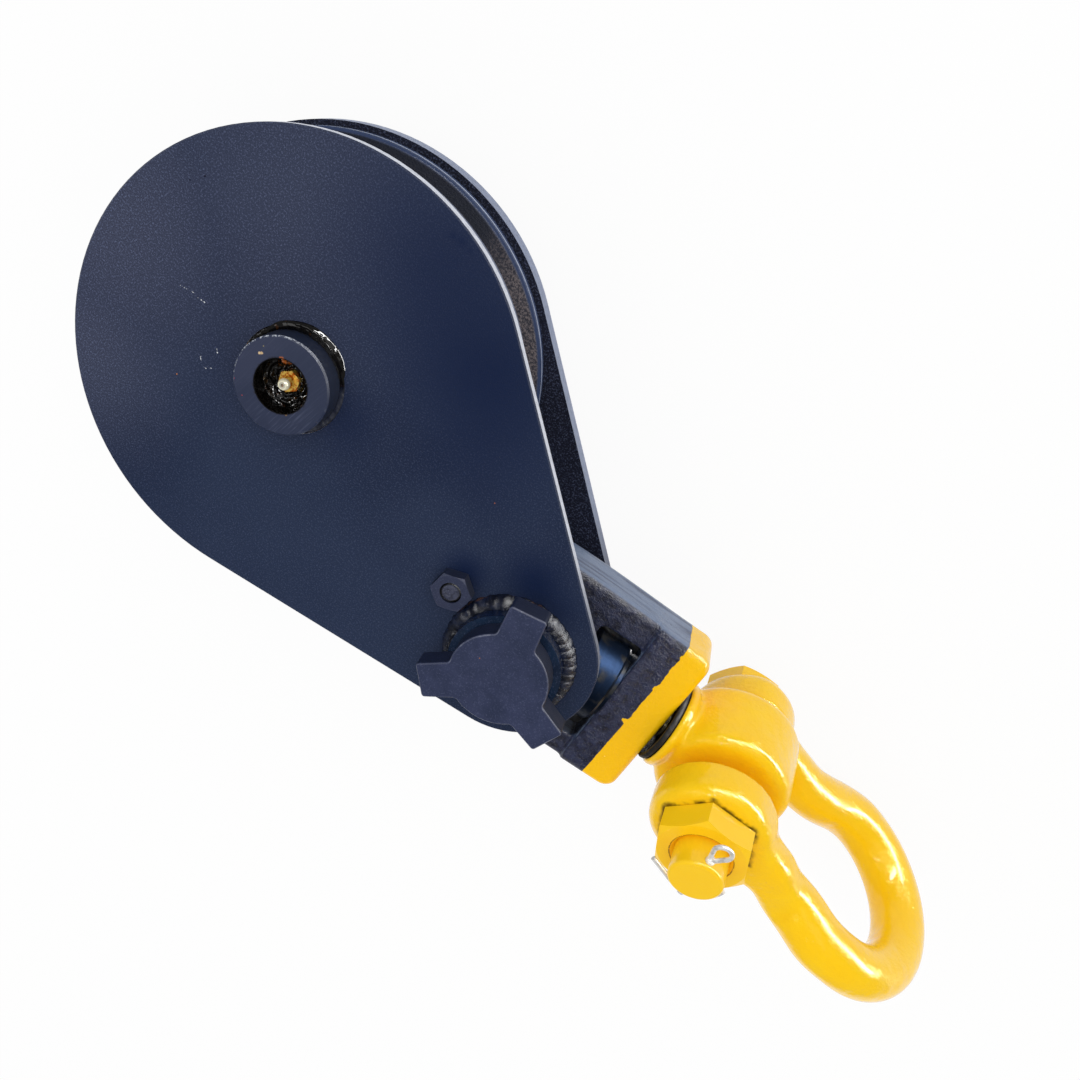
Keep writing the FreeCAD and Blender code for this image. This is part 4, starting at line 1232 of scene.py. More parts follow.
def grid_piece(name: str, points: np.ndarray, round_rows: bool = True,
               round_columns: bool = True) -> bpy.types.Object:
    """Mesh over one or more grids of points.

    Args:
        name: The piece's name.
        points: Grids by rows by columns by 3, in the block's frame; one grid may go without the first.
        round_rows: Whether the last row of each grid joins its first.
        round_columns: Whether the last column of each grid joins its first.

    Returns:
        The piece, with a face between each four neighbours.
    """
    grids = points.reshape(-1, *points.shape[-3:])
    index = np.arange(grids.size // 3).reshape(grids.shape[:3])
    if round_rows:
        index = np.concatenate([index, index[:, :1]], axis=1)
    if round_columns:
        index = np.concatenate([index, index[:, :, :1]], axis=2)
    corners = [index[:, :-1, :-1], index[:, 1:, :-1], index[:, 1:, 1:], index[:, :-1, 1:]]
    mesh = bpy.data.meshes.new(name)
    mesh.from_pydata(grids.reshape(-1, 3).tolist(), [], np.stack(corners, axis=-1).reshape(-1, 4).tolist())
    return finished(name, mesh)


def relaxed(points: np.ndarray, links: np.ndarray, rounds: int, share: np.ndarray | float) -> np.ndarray:
    """Points drawn towards their neighbours.

    Args:
        points: Points by 3.
        links: The two ends of each edge, in two rows.
        rounds: How many times all points move.
        share: How much of each move is made, 0 to 1.

    Returns:
        The points. Each round moves a point half way to the mean of its neighbours, times the share.
    """
    one = np.concatenate([links[0], links[1]])
    other = np.concatenate([links[1], links[0]])
    count = np.bincount(one, minlength=len(points))[:, None]
    for _ in range(rounds):
        total = [np.bincount(one, points[other, axis], len(points)) for axis in range(3)]
        points = points + 0.5 * share * (np.column_stack(total) / count - points)
    return points


@dataclass(frozen=True)
class Forging:
    """A CAD node's shape with its creases flowed out, as forging and thick paint leave it.

    Attributes:
        node: The CAD node.
        name: The new piece's name.
        place: The piece's own frame.
        rounds: How many times the skin is smoothed all over.
        cell: Size of the new skin's cells.
        softer: Stretch along the frame's X where the skin is smoothed further: start and end of its
            rise, then start and end of its fall.
        extra: How many more rounds that stretch gets.
    """

    node: str
    name: str
    place: Place
    rounds: int
    cell: float = 1.1 * MM
    softer: tuple[float, float, float, float] | None = None
    extra: int = 0

    def skin(self) -> bpy.types.Mesh:
        """The node's shape in even cells.

        Returns:
            A mesh of the Remesh modifier's voxels over a merged copy of the node.
        """
        mesh = frame["nodes"][self.node].data.copy()
        mesh.materials.clear()
        rough = finished(self.name + "_rough", mesh)
        voxels = rough.modifiers.new("skin", "REMESH")
        voxels.mode = "VOXEL"
        voxels.voxel_size = self.cell
        voxels.use_smooth_shade = True
        graph = bpy.context.evaluated_depsgraph_get()
        even = bpy.data.meshes.new_from_object(rough.evaluated_get(graph))
        bpy.data.objects.remove(rough)
        return even

    def build(self, settle: Callable[[np.ndarray], np.ndarray] | None = None) -> bpy.types.Object:
        """The flowed piece.

        Args:
            settle: How the smoothed points move in the piece's own frame, if they do.

        Returns:
            The piece.
        """
        mesh = self.skin()
        points = np.empty(len(mesh.vertices) * 3)
        mesh.vertices.foreach_get("co", points)
        ends = np.empty(len(mesh.edges) * 2, dtype=np.int64)
        mesh.edges.foreach_get("vertices", ends)
        links = ends.reshape(-1, 2).T
        points = relaxed(points.reshape(-1, 3), links, self.rounds, 1.0)
        if self.softer is not None:
            ahead = self.place.to_own(points)[:, :1]
            start, full, fading, end = self.softer
            share = step(ahead, start, full) * (1 - step(ahead, fading, end))
            points = relaxed(points, links, self.extra, share)
        if settle is not None:
            points = self.place.to_block(settle(self.place.to_own(points)))
        mesh.vertices.foreach_set("co", points.ravel())
        mesh.update()
        mesh.shade_smooth()
        return placed(self.name, mesh)


# Sub-assemblies


@dataclass
class HubWeld:
    """Weld bead round a hub: overlapping ripples where it was laid evenly, lumps where it wasn't."""

    side: Side
    body: str
    seed: int
    leg: float = 6.7 * MM
    ripples: int = 46
    ripple_height: float = 0.7 * MM
    lump_height: float = 1.7 * MM
    even_from: float = math.radians(-35)
    even_to: float = math.radians(95)
    even_fade: float = 0.12
    stations: int = 840
    section: int = 15
    sunk: float = 0.35 * MM

    def points(self, hub: Extent, level: float) -> np.ndarray:
        """Surface of the bead.

        Args:
            hub: Box of the hub that the bead runs round.
            level: Z of the plate's outer face.

        Returns:
            Rows round the hub by columns over the section. A point stands off the corner between hub and
            plate by the leg's length at each slope from 0 to 90 degrees, plus the ripple, which is the root
            of a sine's size and so has sharp valleys, plus the lumps. The last column closes the section
            inside the corner.
        """
        turn = np.linspace(0, 2 * np.pi, self.stations, endpoint=False)[:, None]
        slope = np.linspace(-0.05, np.pi / 2 + 0.05, self.section)[None, :]
        off = np.abs((turn - (self.even_from + self.even_to) / 2 + np.pi) % (2 * np.pi) - np.pi)
        even = 1 / (1 + np.exp((off - (self.even_to - self.even_from) / 2) / self.even_fade))
        # Each ripple is a crescent: its middle runs ahead of its two ends.
        crescent = 1.3 * np.cos(2 * slope - np.pi / 2)
        bent = turn * self.ripples + crescent + 0.6 * waves(turn, self.seed, 3, 9)
        ripple = np.sqrt(np.abs(np.sin(bent / 2))) - 0.7
        lumps = waves(turn, self.seed + 1, 9, 34) * np.sin(slope + 0.4)
        lumps = lumps + 0.5 * waves(turn, self.seed + 2, 20, 60) * np.cos(3 * slope)
        reach = self.leg + ripple * self.ripple_height * (0.4 + 0.6 * even)
        reach = reach + lumps * self.lump_height * (1.15 - even)
        out = np.hstack([hub.radius + reach * np.cos(slope), np.full_like(turn, hub.radius - self.sunk)])
        rise = np.hstack([reach * np.sin(slope), np.full_like(turn, -self.sunk)])
        x = hub.middle[0] + out * np.cos(turn)
        y = hub.middle[1] + out * np.sin(turn)
        return np.stack([x, y, level + self.side.value * rise], axis=-1)

    def build(self) -> bpy.types.Object:
        """The bead, in place of the CAD's plain one.

        Returns:
            The dressed piece.
        """
        side = self.side.name.lower()
        hub = Extent.of(f"{side}_hub")
        plate = Extent.of(f"{side}_side_plate")
        level = plate.high[2] if self.side is Side.OPENING else plate.low[2]
        piece = grid_piece(f"{side}_hub_bead", self.points(hub, level))
        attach(piece, self.body)
        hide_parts(f"{side}_hub_weld")
        WeldPaint(f"weld_paint_{side}", hub, self.leg).dress(piece)
        return piece


@dataclass
class SidePlates:
    """Both side plates with their hubs and welds. Clouds, patches of painted sheen, scratches and flecks lie on
    the near one.
    """

    clouds: tuple[Cloud, ...] = (
        Cloud(0.1418, 0.0117, 0.021, 0.95), Cloud(0.1681, 0.0420, 0.030, 0.95),
        Cloud(0.190, 0.043, 0.022, 0.6), Cloud(0.060, 0.095, 0.085, 1.0), Cloud(0.000, 0.110, 0.09, 0.75),
        Cloud(0.105, 0.066, 0.06, 0.3), Cloud(0.033, 0.010, 0.032, 0.6), Cloud(-0.0004, 0.1239, 0.0045, 0.8),
        Cloud(-0.0052, 0.1222, 0.0035, 0.7), Cloud(0.0052, 0.1246, 0.003, 0.7))
    # Patches of painted sheen on the near plate.
    sheen_patches: tuple[Cloud, ...] = (
        Cloud(-0.080, 0.065, 0.17, 0.55), Cloud(-0.130, -0.03, 0.13, 0.95), Cloud(-0.095, -0.095, 0.10, 0.9))
    scratches: tuple[Scratch, ...] = (
        Scratch(-0.0750, -0.0180, -0.0670, -0.0140, 0.3 * MM),
        Scratch(-0.0635, -0.0138, -0.0582, -0.0119, 0.45 * MM),
        Scratch(-0.0400, -0.0355, -0.0383, -0.0368, 0.6 * MM),
        Scratch(-0.0348, -0.0384, -0.0330, -0.0378, 0.6 * MM),
        Scratch(-0.0325, -0.0360, -0.0315, -0.0352, 0.6 * MM),
        Scratch(-0.0375, -0.0247, -0.0357, -0.0258, 0.6 * MM))
    flecks: tuple[Fleck, ...] = (
        Fleck(-0.0411, -0.0548, 0.35 * MM, paint(214, 130, 40)),
        Fleck(0.1180, 0.0520, 0.35 * MM, paint(160, 90, 50)),
        Fleck(-0.1050, 0.0337, 0.6 * MM, paint(20, 24, 44)),
        Fleck(-0.1087, 0.0256, 0.5 * MM, paint(20, 24, 44)))

    def build(self) -> list[bpy.types.Object]:
        """Dresses the plates and hubs and lays the weld beads.

        Returns:
            The plates and the beads.
        """
        nodes = frame["nodes"]
        near = PlatePaint("opening_plate_paint", self.clouds, self.sheen_patches, self.scratches, self.flecks)
        near.dress(nodes["opening_side_plate"])
        # The far plate is painted darker than the near one: painted shade, as it lies behind the sheave and the
        # near plate. Its cut edges get a dimmer painted highlight.
        far = PlatePaint("fixed_plate_paint", deep=paint(14, 18, 36), light=paint(24, 28, 48),
                         edge=paint(140, 150, 176))
        far.dress(nodes["fixed_side_plate"])
        hub_paint = NavyEnamel("hub_paint", ground=paint(18, 32, 54), other=paint(26, 46, 72),
                               worn=paint(110, 118, 140), wear=0.6, gloss=0.2)
        hub_paint.dress(nodes["opening_hub"])
        hub_paint.dress(nodes["fixed_hub"])
        beads = [HubWeld(Side.OPENING, "opening_side", 7).build(), HubWeld(Side.FIXED, "frame", 19).build()]
        return [nodes["opening_side_plate"], nodes["fixed_side_plate"], *beads]


@dataclass
class CentrePin:
    """The centre pin with its grease fitting, keeper and the grease that has crept out."""

    rim: float = 27.4 * MM
    bore: float = 15.1 * MM
    bore_depth: float = 16.0 * MM
    fitting: float = 5.2 * MM
    gap: float = 3.2 * MM
    creep_peak: float = math.radians(92)
    creep_before: float = math.radians(38)
    creep_after: float = math.radians(74)
    creep_width: float = 3.6 * MM
    creep_height: float = 2.6 * MM
    flecks: tuple[Fleck, ...] = (
        Fleck(-0.0199, 0.0026, 0.8 * MM, paint(196, 170, 130)),
        Fleck(-0.0192, 0.0037, 0.7 * MM, paint(186, 158, 118)),
        Fleck(-0.0213, 0.0072, 0.3 * MM, paint(120, 112, 84)),
        Fleck(0.0132, -0.0080, 0.8 * MM, paint(110, 84, 56)),
        Fleck(-0.0184, -0.0190, 0.3 * MM, paint(214, 50, 70)),
        Fleck(-0.0090, -0.0218, 0.3 * MM, paint(200, 60, 50)))
    rust: tuple[Fleck, ...] = (
        Fleck(-0.0100, 0.0048, 2.2 * MM, paint(176, 92, 30)),
        Fleck(-0.0074, 0.0066, 1.4 * MM, paint(120, 62, 24)))

    def build(self) -> list[bpy.types.Object]:
        """Dresses the pin and its fittings and adds the grease.

        Returns:
            The two pieces of grease.
        """
        nodes = frame["nodes"]
        top = Extent.of("center_pin").top
        BossPaint("boss_paint", self.rim, self.bore, top, self.flecks).dress(nodes["center_pin"])
        BrassFitting("brass_fitting_metal", Extent.of("grease_fitting")).dress(nodes["grease_fitting"])
        keeper = NavyEnamel("keeper_paint", wear=0.2)
        keeper.dress(nodes["pin_keeper"])
        keeper.dress(nodes["keeper_bolts"])
        return [self.creep(), self.plug(top - self.bore_depth)]

    def creep(self) -> bpy.types.Object:
        """Grease in the gap between boss and plate, with a crescent that has crept out over the plate.

        Returns:
            A bead round the boss. Its section is an ellipse that fills the gap just below the plate's
            face, and swells outwards and upwards by a smooth hump over the crescent's angles, dented by
            waves.
        """
        level = Extent.of("opening_side_plate").high[2]
        turn = np.linspace(0, 2 * np.pi, 420, endpoint=False)[:, None]
        around = np.linspace(0, 2 * np.pi, 20, endpoint=False)[None, :]
        off = (turn - self.creep_peak + np.pi) % (2 * np.pi) - np.pi
        off = np.where(off < 0, -off / self.creep_before, off / self.creep_after)
        swell = np.clip(1 - off ** 2, 0, 1) ** 0.75 * (1 + 0.1 * waves(turn, 3, 5, 24))
        half = self.gap / 2 + self.creep_width / 2 * swell
        out = self.rim - 0.1 * MM + half + half * np.cos(around)
        height = 0.35 * MM + self.creep_height * swell
        ridges = 1 + 0.14 * swell * np.cos(6 * around + 1.2 * waves(turn, 5, 2, 5))
        rise = level - 0.9 * MM + height * ridges * np.sin(around)
        piece = grid_piece("boss_grease", np.stack([out * np.cos(turn), out * np.sin(turn), rise], axis=-1))
        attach(piece, "opening_side")
        GreasePaint("boss_grease_paint", amber=0.25, painted_from=6 * MM).dress(piece)
        return piece

    def plug(self, floor: float) -> bpy.types.Object:
        """Grease on the counterbore's floor.

        Args:
            floor: The floor's Z.

        Returns:
            A lumpy ring from the bore's wall to the fitting. Its height is a smooth hollow plus waves
            round the axis that change with the radius.
        """
        radius = np.linspace(self.fitting, self.bore - 0.1 * MM, 40)[:, None]
        turn = np.linspace(0, 2 * np.pi, 160, endpoint=False)[None, :]
        share = (radius - radius[0]) / (radius[-1] - radius[0])
        lumps = waves(turn, 11, 2, 9) * np.sin(np.pi * share)
        lumps = lumps + waves(turn, 12, 6, 20) * np.sin(3 * np.pi * share + 1.0) * 0.5
        curl = np.sin(4.5 * np.pi * share + 2.2 * waves(turn, 13, 1, 4))
        height = floor + 2.4 * MM + 2.4 * MM * share ** 3 + 1.5 * MM * lumps + 0.55 * MM * curl
        height = np.concatenate([height, np.full_like(height, floor + 0.1 * MM)])
        radius = np.concatenate([radius, radius[::-1]])
        points = np.stack([radius * np.cos(turn), radius * np.sin(turn), height], axis=-1)
        piece = grid_piece("counterbore_grease", points)
        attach(piece, "frame")
        GreasePaint("bore_grease_paint", amber=0.7, flecks=self.rust).dress(piece)
        return piece


@dataclass
class SheaveSet:
    """The sheave, its bushing and the thrust washers, with the yoke's bushing of the same bronze."""

    bronze_nodes: tuple[str, ...] = (
        "sheave_bushing", "thrust_washer_fixed_side", "thrust_washer_opening_side", "yoke_bushing")

    def build(self) -> list[bpy.types.Object]:
        """Dresses the sheave and what it turns on.

        Returns:
            The sheave.
        """
        nodes = frame["nodes"]
        wheel = Extent.of("sheave")
        SheavePaint("sheave_paint", wheel.radius, wheel.top).dress(nodes["sheave"])
        bronze = BareMetal("bronze_metal", metal=paint(176, 124, 70), stain=paint(70, 44, 24),
                           roughness=0.35)
        for node in self.bronze_nodes:
            bronze.dress(nodes[node])
        return [nodes["sheave"]]


@dataclass
class TrunnionSet:
    """The trunnion with its washers, the three-lobed pin and the retaining bolt."""

    greased_nodes: tuple[str, ...] = ("trunnion", "yoke_washer_fixed_side", "yoke_washer_opening_side")
    flecks: tuple[Fleck, ...] = (Fleck(0.1815, 0.0000, 0.35 * MM, paint(170, 100, 50)),)

    def build(self) -> list[bpy.types.Object]:
        """Dresses the trunnion's pieces.

        Returns:
            The pieces that show from outside.
        """
        nodes = frame["nodes"]
        greased = BareMetal("greased_steel", metal=paint(70, 82, 104), stain=paint(14, 15, 20),
                            roughness=0.22, stained=0.75)
        for node in self.greased_nodes:
            greased.dress(nodes[node])
        lobed = NavyEnamel("lobed_pin_paint", ground=paint(32, 42, 72), other=paint(44, 52, 84),
                           worn=paint(150, 154, 170), wear=0.5, gloss=0.46, flecks=self.flecks)
        lobed.dress(nodes["lug_pin"])
        nut = NavyEnamel("retaining_nut_paint", ground=paint(34, 42, 70), other=paint(42, 49, 76),
                         worn=paint(90, 94, 116), wear=0.5, gloss=0.46)
        nut.dress(nodes["retaining_nut"])
        RoughBolt("retaining_bolt_paint", Extent.of("retaining_bolt")).dress(nodes["retaining_bolt"])
        return [nodes["lug_pin"], nodes["retaining_nut"], nodes["retaining_bolt"]]


@dataclass
class YokeSet:
    """The yoke with the swivel's nut in its window."""

    paint_line: float = 83 * MM
    half_width: float = 57 * MM
    bow_out: float = 3.4 * MM
    # Section and reach of the dark lumps that stand in for the window's shade.
    window_lump_in: float = 27.8 * MM
    window_lump_neck: float = 25.0 * MM
    window_lump_out: float = 39.5 * MM
    window_lump_roof: float = 1.0 * MM
    window_lump_floor: float = -16.8 * MM
    window_lump_foot: float = 24.0 * MM
    window_lump_arc: tuple[float, float] = (math.radians(-38), math.radians(2))
    window_lump_from: float = 37.0 * MM
    window_lump_to: float = 66.8 * MM
    neck_at: float = 61.8 * MM

    def build(self) -> list[bpy.types.Object]:
        """Dresses the yoke and what hangs in it.

        Returns:
            The casting, the nut and the dark lumps that stand in for the window's shade.
        """
        nodes = frame["nodes"]
        casting = Forging("yoke", "yoke_casting", YOKE, 5).build(self.swollen)
        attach(casting, "yoke")
        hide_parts("yoke")
        YokePaint("yoke_paint", self.paint_line, self.half_width).dress(casting)
        turned = BareMetal("turned_nut_steel", metal=paint(26, 38, 58), stain=paint(3, 5, 11), place=SWIVEL,
                           roughness=0.28, stained=0.98, grain=1.6 * MM, streaks=(1.0, 0.15, 0.15))
        for node in ("swivel_nut", "swivel_washer", "swivel_nut_pin"):
            turned.dress(nodes[node])
        return [casting, nodes["swivel_nut"], self.window_shade_lumps()]

    def swollen(self, points: np.ndarray) -> np.ndarray:
        """One arm's flank bowed outwards: by the full amount at the trunnion, less towards the end.

        Args:
            points: The casting's points in the yoke's frame.

        Returns:
            The points, moved across by a smooth step over the flank times one along the arm.
        """
        x, y, z = points.T
        out = self.bow_out * step(y, 42 * MM, self.half_width) * (1 - 0.7 * step(x, 10 * MM, 100 * MM))
        return np.column_stack([x, y + out, z])

    def window_shade_lumps(self) -> bpy.types.Object:
        """Dark lumps in the window beside the nut, which stand in for the shade there.

        Returns:
            Two lumps in one piece, one each side of the nut. A lump's section fills the corner between the
            nut, the window's wall and the yoke's underside: an arc about the swivel's axis and then three
            straight sides. It is carried along the yoke, shrinks to its own middle at the ends, is dented
            by waves and comes in towards the swivel's neck past the nut.
        """
        arc = np.linspace(*self.window_lump_arc, 14)
        inner = np.column_stack([self.window_lump_in * np.cos(arc), self.window_lump_in * np.sin(arc)])
        roof = np.linspace(self.window_lump_in + 2 * MM, self.window_lump_out, 8)
        wall = np.linspace(self.window_lump_roof - 2 * MM, self.window_lump_floor + 0.2 * MM, 9)
        floor = np.linspace(self.window_lump_out - 1 * MM, self.window_lump_foot, 9)
        section = np.vstack([inner, np.column_stack([roof, np.full_like(roof, self.window_lump_roof)]),
                             np.column_stack([np.full_like(wall, self.window_lump_out), wall]),
                             np.column_stack([floor, np.full_like(floor, self.window_lump_floor)])])
        middle = section.mean(axis=0)
        along = np.linspace(0, 1, 26)[:, None]
        shrink = np.clip(1 - np.abs(2 * along - 1) ** 16, 0, 1) ** 0.5
        dent = 1 - 0.06 * np.abs(waves(along * 5, 31, 1, 5))
        across = middle + (section - middle) * shrink[..., None] * dent[..., None]
        ahead = self.window_lump_from + (self.window_lump_to - self.window_lump_from) * along
        past = step(ahead, self.neck_at, self.neck_at + 0.8 * MM) * (np.arange(len(section)) < len(arc))
        across = across * (1 - past * (1 - self.window_lump_neck / self.window_lump_in))[..., None]
        ahead = np.broadcast_to(ahead, past.shape)
        lumps = [np.stack([ahead, side * across[..., 0], across[..., 1] - SHADE_DROP], axis=-1)
                 for side in (1.0, -1.0)]
        piece = grid_piece("window_shade_lumps", YOKE.to_block(np.array(lumps)), round_rows=False)
        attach(piece, "yoke")
        # The lumps are near black: painted shade in the window.
        GreasePaint("packed_dirt_paint", amber=0.15, gloss=0.45, body=paint(7, 8, 12)).dress(piece)
        return piece


@dataclass
class SwivelAndShackle:
    """The swivel eye and the bow shackle with its bolt, nut and split pin."""

    lean: float = 2.6 * MM
    flatness: float = 0.2
    collar: float = 107.3 * MM
    nut_seat: float = 55.5 * MM
    nut_ring: float = 18.6 * MM
    neck_from: float = 103.1 * MM
    neck_to: float = 106.4 * MM
    neck_in: float = 24.7 * MM
    neck_out: float = 26.6 * MM
    soft_limbs: tuple[float, float, float, float] = (16 * MM, 34 * MM, 60 * MM, 84 * MM)
    soft_rounds: int = 90

    def build(self) -> list[bpy.types.Object]:
        """Makes the two forgings' flowed skins and dresses the bolt's pieces.

        Returns:
            The pieces that show from outside.
        """
        nodes = frame["nodes"]
        eye = Forging("swivel_eye", "swivel_eye_forging", SWIVEL, 10).build()
        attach(eye, "swivel")
        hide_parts("swivel_eye")
        # The collar's back face is painted near black: painted shade in the gap between yoke and collar.
        YellowEnamel("swivel_enamel", SWIVEL, sag=0.7 * MM, shaded_below=self.collar).dress(eye)
        bow = Forging("shackle_bow", "shackle_bow_forging", SHACKLE, 20, softer=self.soft_limbs,
                      extra=self.soft_rounds).build(self.bent)
        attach(bow, "shackle")
        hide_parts("shackle_bow")
        YellowEnamel("bow_enamel", SHACKLE, seat=self.nut_seat).dress(bow)
        thin = YellowEnamel("bolt_enamel", SHACKLE, sag=0.15 * MM, peel=0.05 * MM, gloss=0.3)
        thin.dress(nodes["shackle_bolt"])
        replace(thin, name="nut_enamel", ring=self.nut_ring).dress(nodes["shackle_nut"])
        SplitPinZinc("split_pin_zinc").dress(nodes["cotter_pin"])
        # The near-black ring stands in for the shade in the gap between yoke and collar.
        grease = self.neck_shade_ring()
        return [eye, bow, grease, nodes["shackle_bolt"], nodes["shackle_nut"], nodes["cotter_pin"]]

    def bent(self, points: np.ndarray) -> np.ndarray:
        """The forging's own departures from the drawing.

        Args:
            points: The bow's points in the shackle's frame.

        Returns:
            The points. Both limbs lean to one side between the ears and the crown, the near one more, and
            the far ear is a little flat at the back. Each move is a product of smooth steps.
        """
        x, y, z = points.T
        near = step(z, -10 * MM, 25 * MM)
        limb = step(x, 50 * MM, 74 * MM) * (1 - step(x, 94 * MM, 122 * MM))
        root = step(x, 14 * MM, 30 * MM) * (1 - step(x, 46 * MM, 68 * MM))
        y = y - limb * self.lean * (0.75 + 0.25 * near) + root * near * self.lean * 1.2
        flat = step(-z, 20 * MM, 32 * MM) * step(-x, -6 * MM, 26 * MM)
        return np.column_stack([x * (1 - self.flatness * flat), y, z])

    def neck_shade_ring(self) -> bpy.types.Object:
        """A near-black ring between the yoke's end and the swivel's collar, which stands in for the shade in the
        gap.

        Returns:
            A ring about the swivel's axis. Its section runs from one face to the other, bulging as a
            half sine, and its radius wanders by waves.
        """
        turn = np.linspace(0, 2 * np.pi, 240, endpoint=False)[:, None]
        along = np.linspace(0, 1, 12)[None, :]
        bulge = 0.9 * MM * np.sin(np.pi * along) + 0.5 * MM * waves(turn, 23, 3, 24)
        outer = self.neck_out + bulge
        place = np.broadcast_to(self.neck_from + (self.neck_to - self.neck_from) * along, outer.shape)
        radius = np.hstack([outer, np.full_like(outer, self.neck_in)])
        ahead = np.hstack([place, place[:, ::-1]])
        points = np.stack([ahead, radius * np.cos(turn), radius * np.sin(turn)], axis=-1)
        piece = grid_piece("neck_shade_ring", SWIVEL.to_block(points))
        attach(piece, "swivel")
        # Near black: painted shade in the gap.
        GreasePaint("neck_grease_paint", amber=0.3, gloss=0.6, body=paint(16, 11, 6)).dress(piece)
        return piece


# Stage, lights and camera


@dataclass(frozen=True)
class Lamp:
    """A soft rectangular light that looks at a point.

    Attributes:
        name: The light's name.
        aim: The point.
        way: Direction from the point to the light.
        tall: Direction that the rectangle's height follows as nearly as it can.
        distance: Distance between the point and the light.
        size: Width and height of the rectangle.
        power: Power in watts.
        mirrored: Whether it only shows in gloss, as the far-off flash heads of a studio do.
    """

    name: str
    aim: np.ndarray
    way: np.ndarray
    tall: np.ndarray
    distance: float
    size: tuple[float, float]
    power: float
    mirrored: bool = False

    def build(self) -> None:
        """Hangs the light."""
        data = bpy.data.lights.new(self.name, "AREA")
        data.shape = "RECTANGLE"
        data.size, data.size_y = self.size
        data.energy = self.power
        data.use_shadow = not self.mirrored
        light = placed(self.name, data)
        light.visible_diffuse = not self.mirrored
        way = self.way / np.linalg.norm(self.way)
        side = np.cross(self.tall, way)
        side = side / np.linalg.norm(side)
        turn = Matrix(np.column_stack([side, np.cross(way, side), way]).tolist()).to_4x4()
        light.matrix_world = Matrix.Translation(tuple(self.aim + way * self.distance)) @ turn


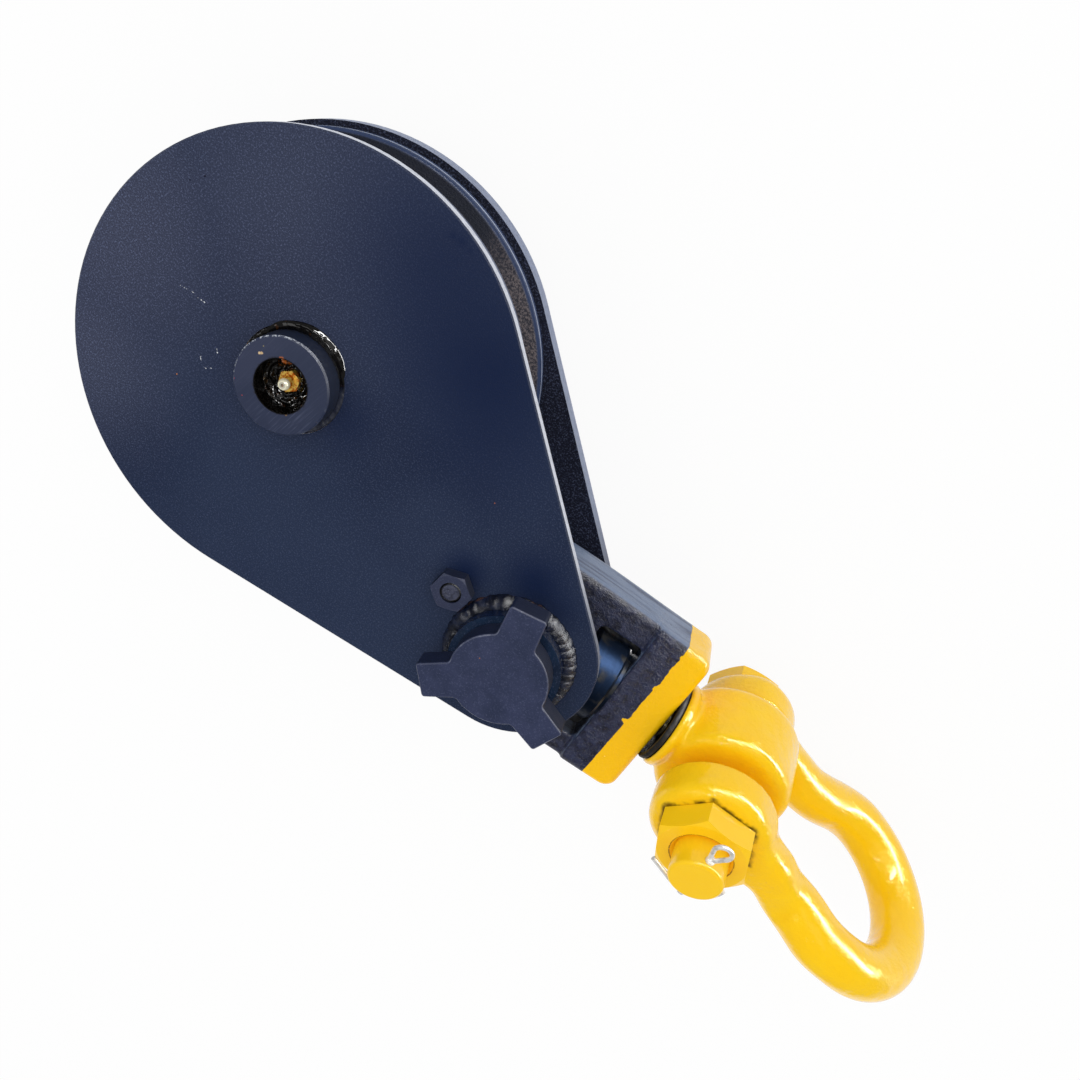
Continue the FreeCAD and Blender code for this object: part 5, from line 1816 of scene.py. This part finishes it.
@dataclass
class Studio:
    """Pale floor, soft lights and the camera of the photograph."""

    lens: float = 34.09
    sensor: float = 36.0
    camera_at: Triple = (0.0357, 0.2813, 0.5400)
    image_right: Triple = (0.5906, 0.7794, -0.2091)
    image_down: Triple = (0.7814, -0.4877, 0.3894)
    floor_size: float = 12.0
    floor_gap: float = 0.4 * MM
    floor_glow: float = 0.93
    ambient: float = 0.94
    shine: float = 0.2

    def build(self) -> None:
        """Makes the stage, the light and the camera."""
        right = np.array(self.image_right)
        up = -np.array(self.image_down)
        back = np.cross(right, up)
        self.floor()
        self.world()
        self.lamps(right, up, back)
        self.camera(right, up, back)
        bpy.context.scene.view_settings.view_transform = "Standard"

    def lamps(self, right: np.ndarray, up: np.ndarray, back: np.ndarray) -> None:
        """Hangs the lights round the block.

        Args:
            right: The camera's direction to the right.
            up: The camera's direction upwards.
            back: The camera's direction backwards.
        """
        block = np.array([0.2, 0.0, 0.0])
        bow = np.array([0.45, -0.02, 0.0])
        pin = np.array([0.1, 0.0, 0.0])
        plate = np.array([-0.1, 0.07, 0.0])
        ahead = np.array([1.0, 0.0, 0.0])
        strip_way = np.array([0.23, 0.96, 0.13])
        arc_way = right * 0.16 + up * 0.57 + back * 0.81
        low_way = back * 0.9 - right * 0.35 - up * 0.25
        for lamp in (
                Lamp("front_light", block, back * 1.2 + right * 0.35 + up * 0.1, UP, 1.8, (1.3, 1.3), 3.4),
                Lamp("strip_light", bow, strip_way, ahead, 1.4, (0.25, 1.6), 48.0, mirrored=True),
                Lamp("arc_light", bow, arc_way, right, 1.4, (0.16, 1.0), 19.0, mirrored=True),
                Lamp("glint_light", pin, np.array([-0.1, 0.12, 1.0]), UP - right, 1.3, (0.12, 0.12), 1.4,
                     mirrored=True),
                Lamp("low_light", block, low_way, up, 1.4, (0.06, 0.25), 1.0, mirrored=True),
                Lamp("sheen_light", plate, np.array([-0.35, -0.38, 1.2]), UP, 1.3, (0.5, 0.5), 1.0)):
            lamp.build()

    def camera(self, right: np.ndarray, up: np.ndarray, back: np.ndarray) -> None:
        """Sets the camera up where the photograph was taken from.

        Args:
            right: Its direction to the right.
            up: Its direction upwards.
            back: Its direction backwards.
        """
        data = bpy.data.cameras.new("camera")
        data.lens = self.lens
        data.sensor_width = self.sensor
        data.clip_start = 0.01
        camera = placed("camera", data)
        turn = Matrix(np.column_stack([right, up, back]).tolist()).to_4x4()
        camera.matrix_world = Matrix.Translation(self.camera_at) @ turn
        bpy.context.scene.camera = camera

    def floor(self) -> None:
        """A wide pale floor just under the block, white where the camera sees it unshaded."""
        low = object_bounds()[0].z - self.floor_gap
        half = self.floor_size / 2
        corners = [(-half, -half, low), (half, -half, low), (half, half, low), (-half, half, low)]
        mesh = bpy.data.meshes.new("floor")
        mesh.from_pydata(corners, [], [(0, 1, 2, 3)])
        floor = placed("floor", mesh)
        shader = Shader(bpy.data.materials.new("pale_floor"))
        tone = shader.noise(shader.where(), 0.3, 2.0)
        colour = shader.blend(tone * 0.2, (0.86, 0.86, 0.86, 1.0), (0.8, 0.8, 0.8, 1.0))
        matt = shader.value("ShaderNodeBsdfDiffuse", None, {"Color": colour})
        glow = shader.value("ShaderNodeEmission", None, {"Color": (1.0, 1.0, 1.0, 1.0), "Strength": 1.0})
        seen = reduce(Value.most, [shader.ray(kind) for kind in Ray])
        mixed = shader.value("ShaderNodeMixShader", None, {0: seen * self.floor_glow, 1: matt, 2: glow})
        shader.node("ShaderNodeOutputMaterial", None, {0: mixed})
        mesh.materials.append(shader.owner)
        floor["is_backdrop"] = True

    def world(self) -> None:
        """White where the camera sees it, a dim room in reflections, and a plain soft light otherwise."""
        world = bpy.data.worlds.new("studio")
        shader = Shader(world)
        soft, dim, white = (
            shader.value("ShaderNodeBackground", None, {"Color": (1.0, 1.0, 1.0, 1.0), "Strength": strength})
            for strength in (self.ambient, self.shine, 1.0))
        room = shader.value("ShaderNodeMixShader", None, {0: shader.ray(Ray.GLOSSY), 1: soft, 2: dim})
        sky = shader.value("ShaderNodeMixShader", None, {0: shader.ray(Ray.CAMERA), 1: room, 2: white})
        shader.node("ShaderNodeOutputWorld", None, {0: sky})
        bpy.context.scene.world = world


def main() -> None:
    """Dresses the block piece by piece and sets the stage."""
    logging.basicConfig(level=logging.INFO, format="%(name)s: %(message)s")
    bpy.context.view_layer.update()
    for part in (SidePlates(), CentrePin(), SheaveSet(), TrunnionSet(), YokeSet(), SwivelAndShackle()):
        for piece in part.build():
            log.info("%s: %s", type(part).__name__, piece.name)
    Studio().build()


if __name__ == "__main__":
    main()
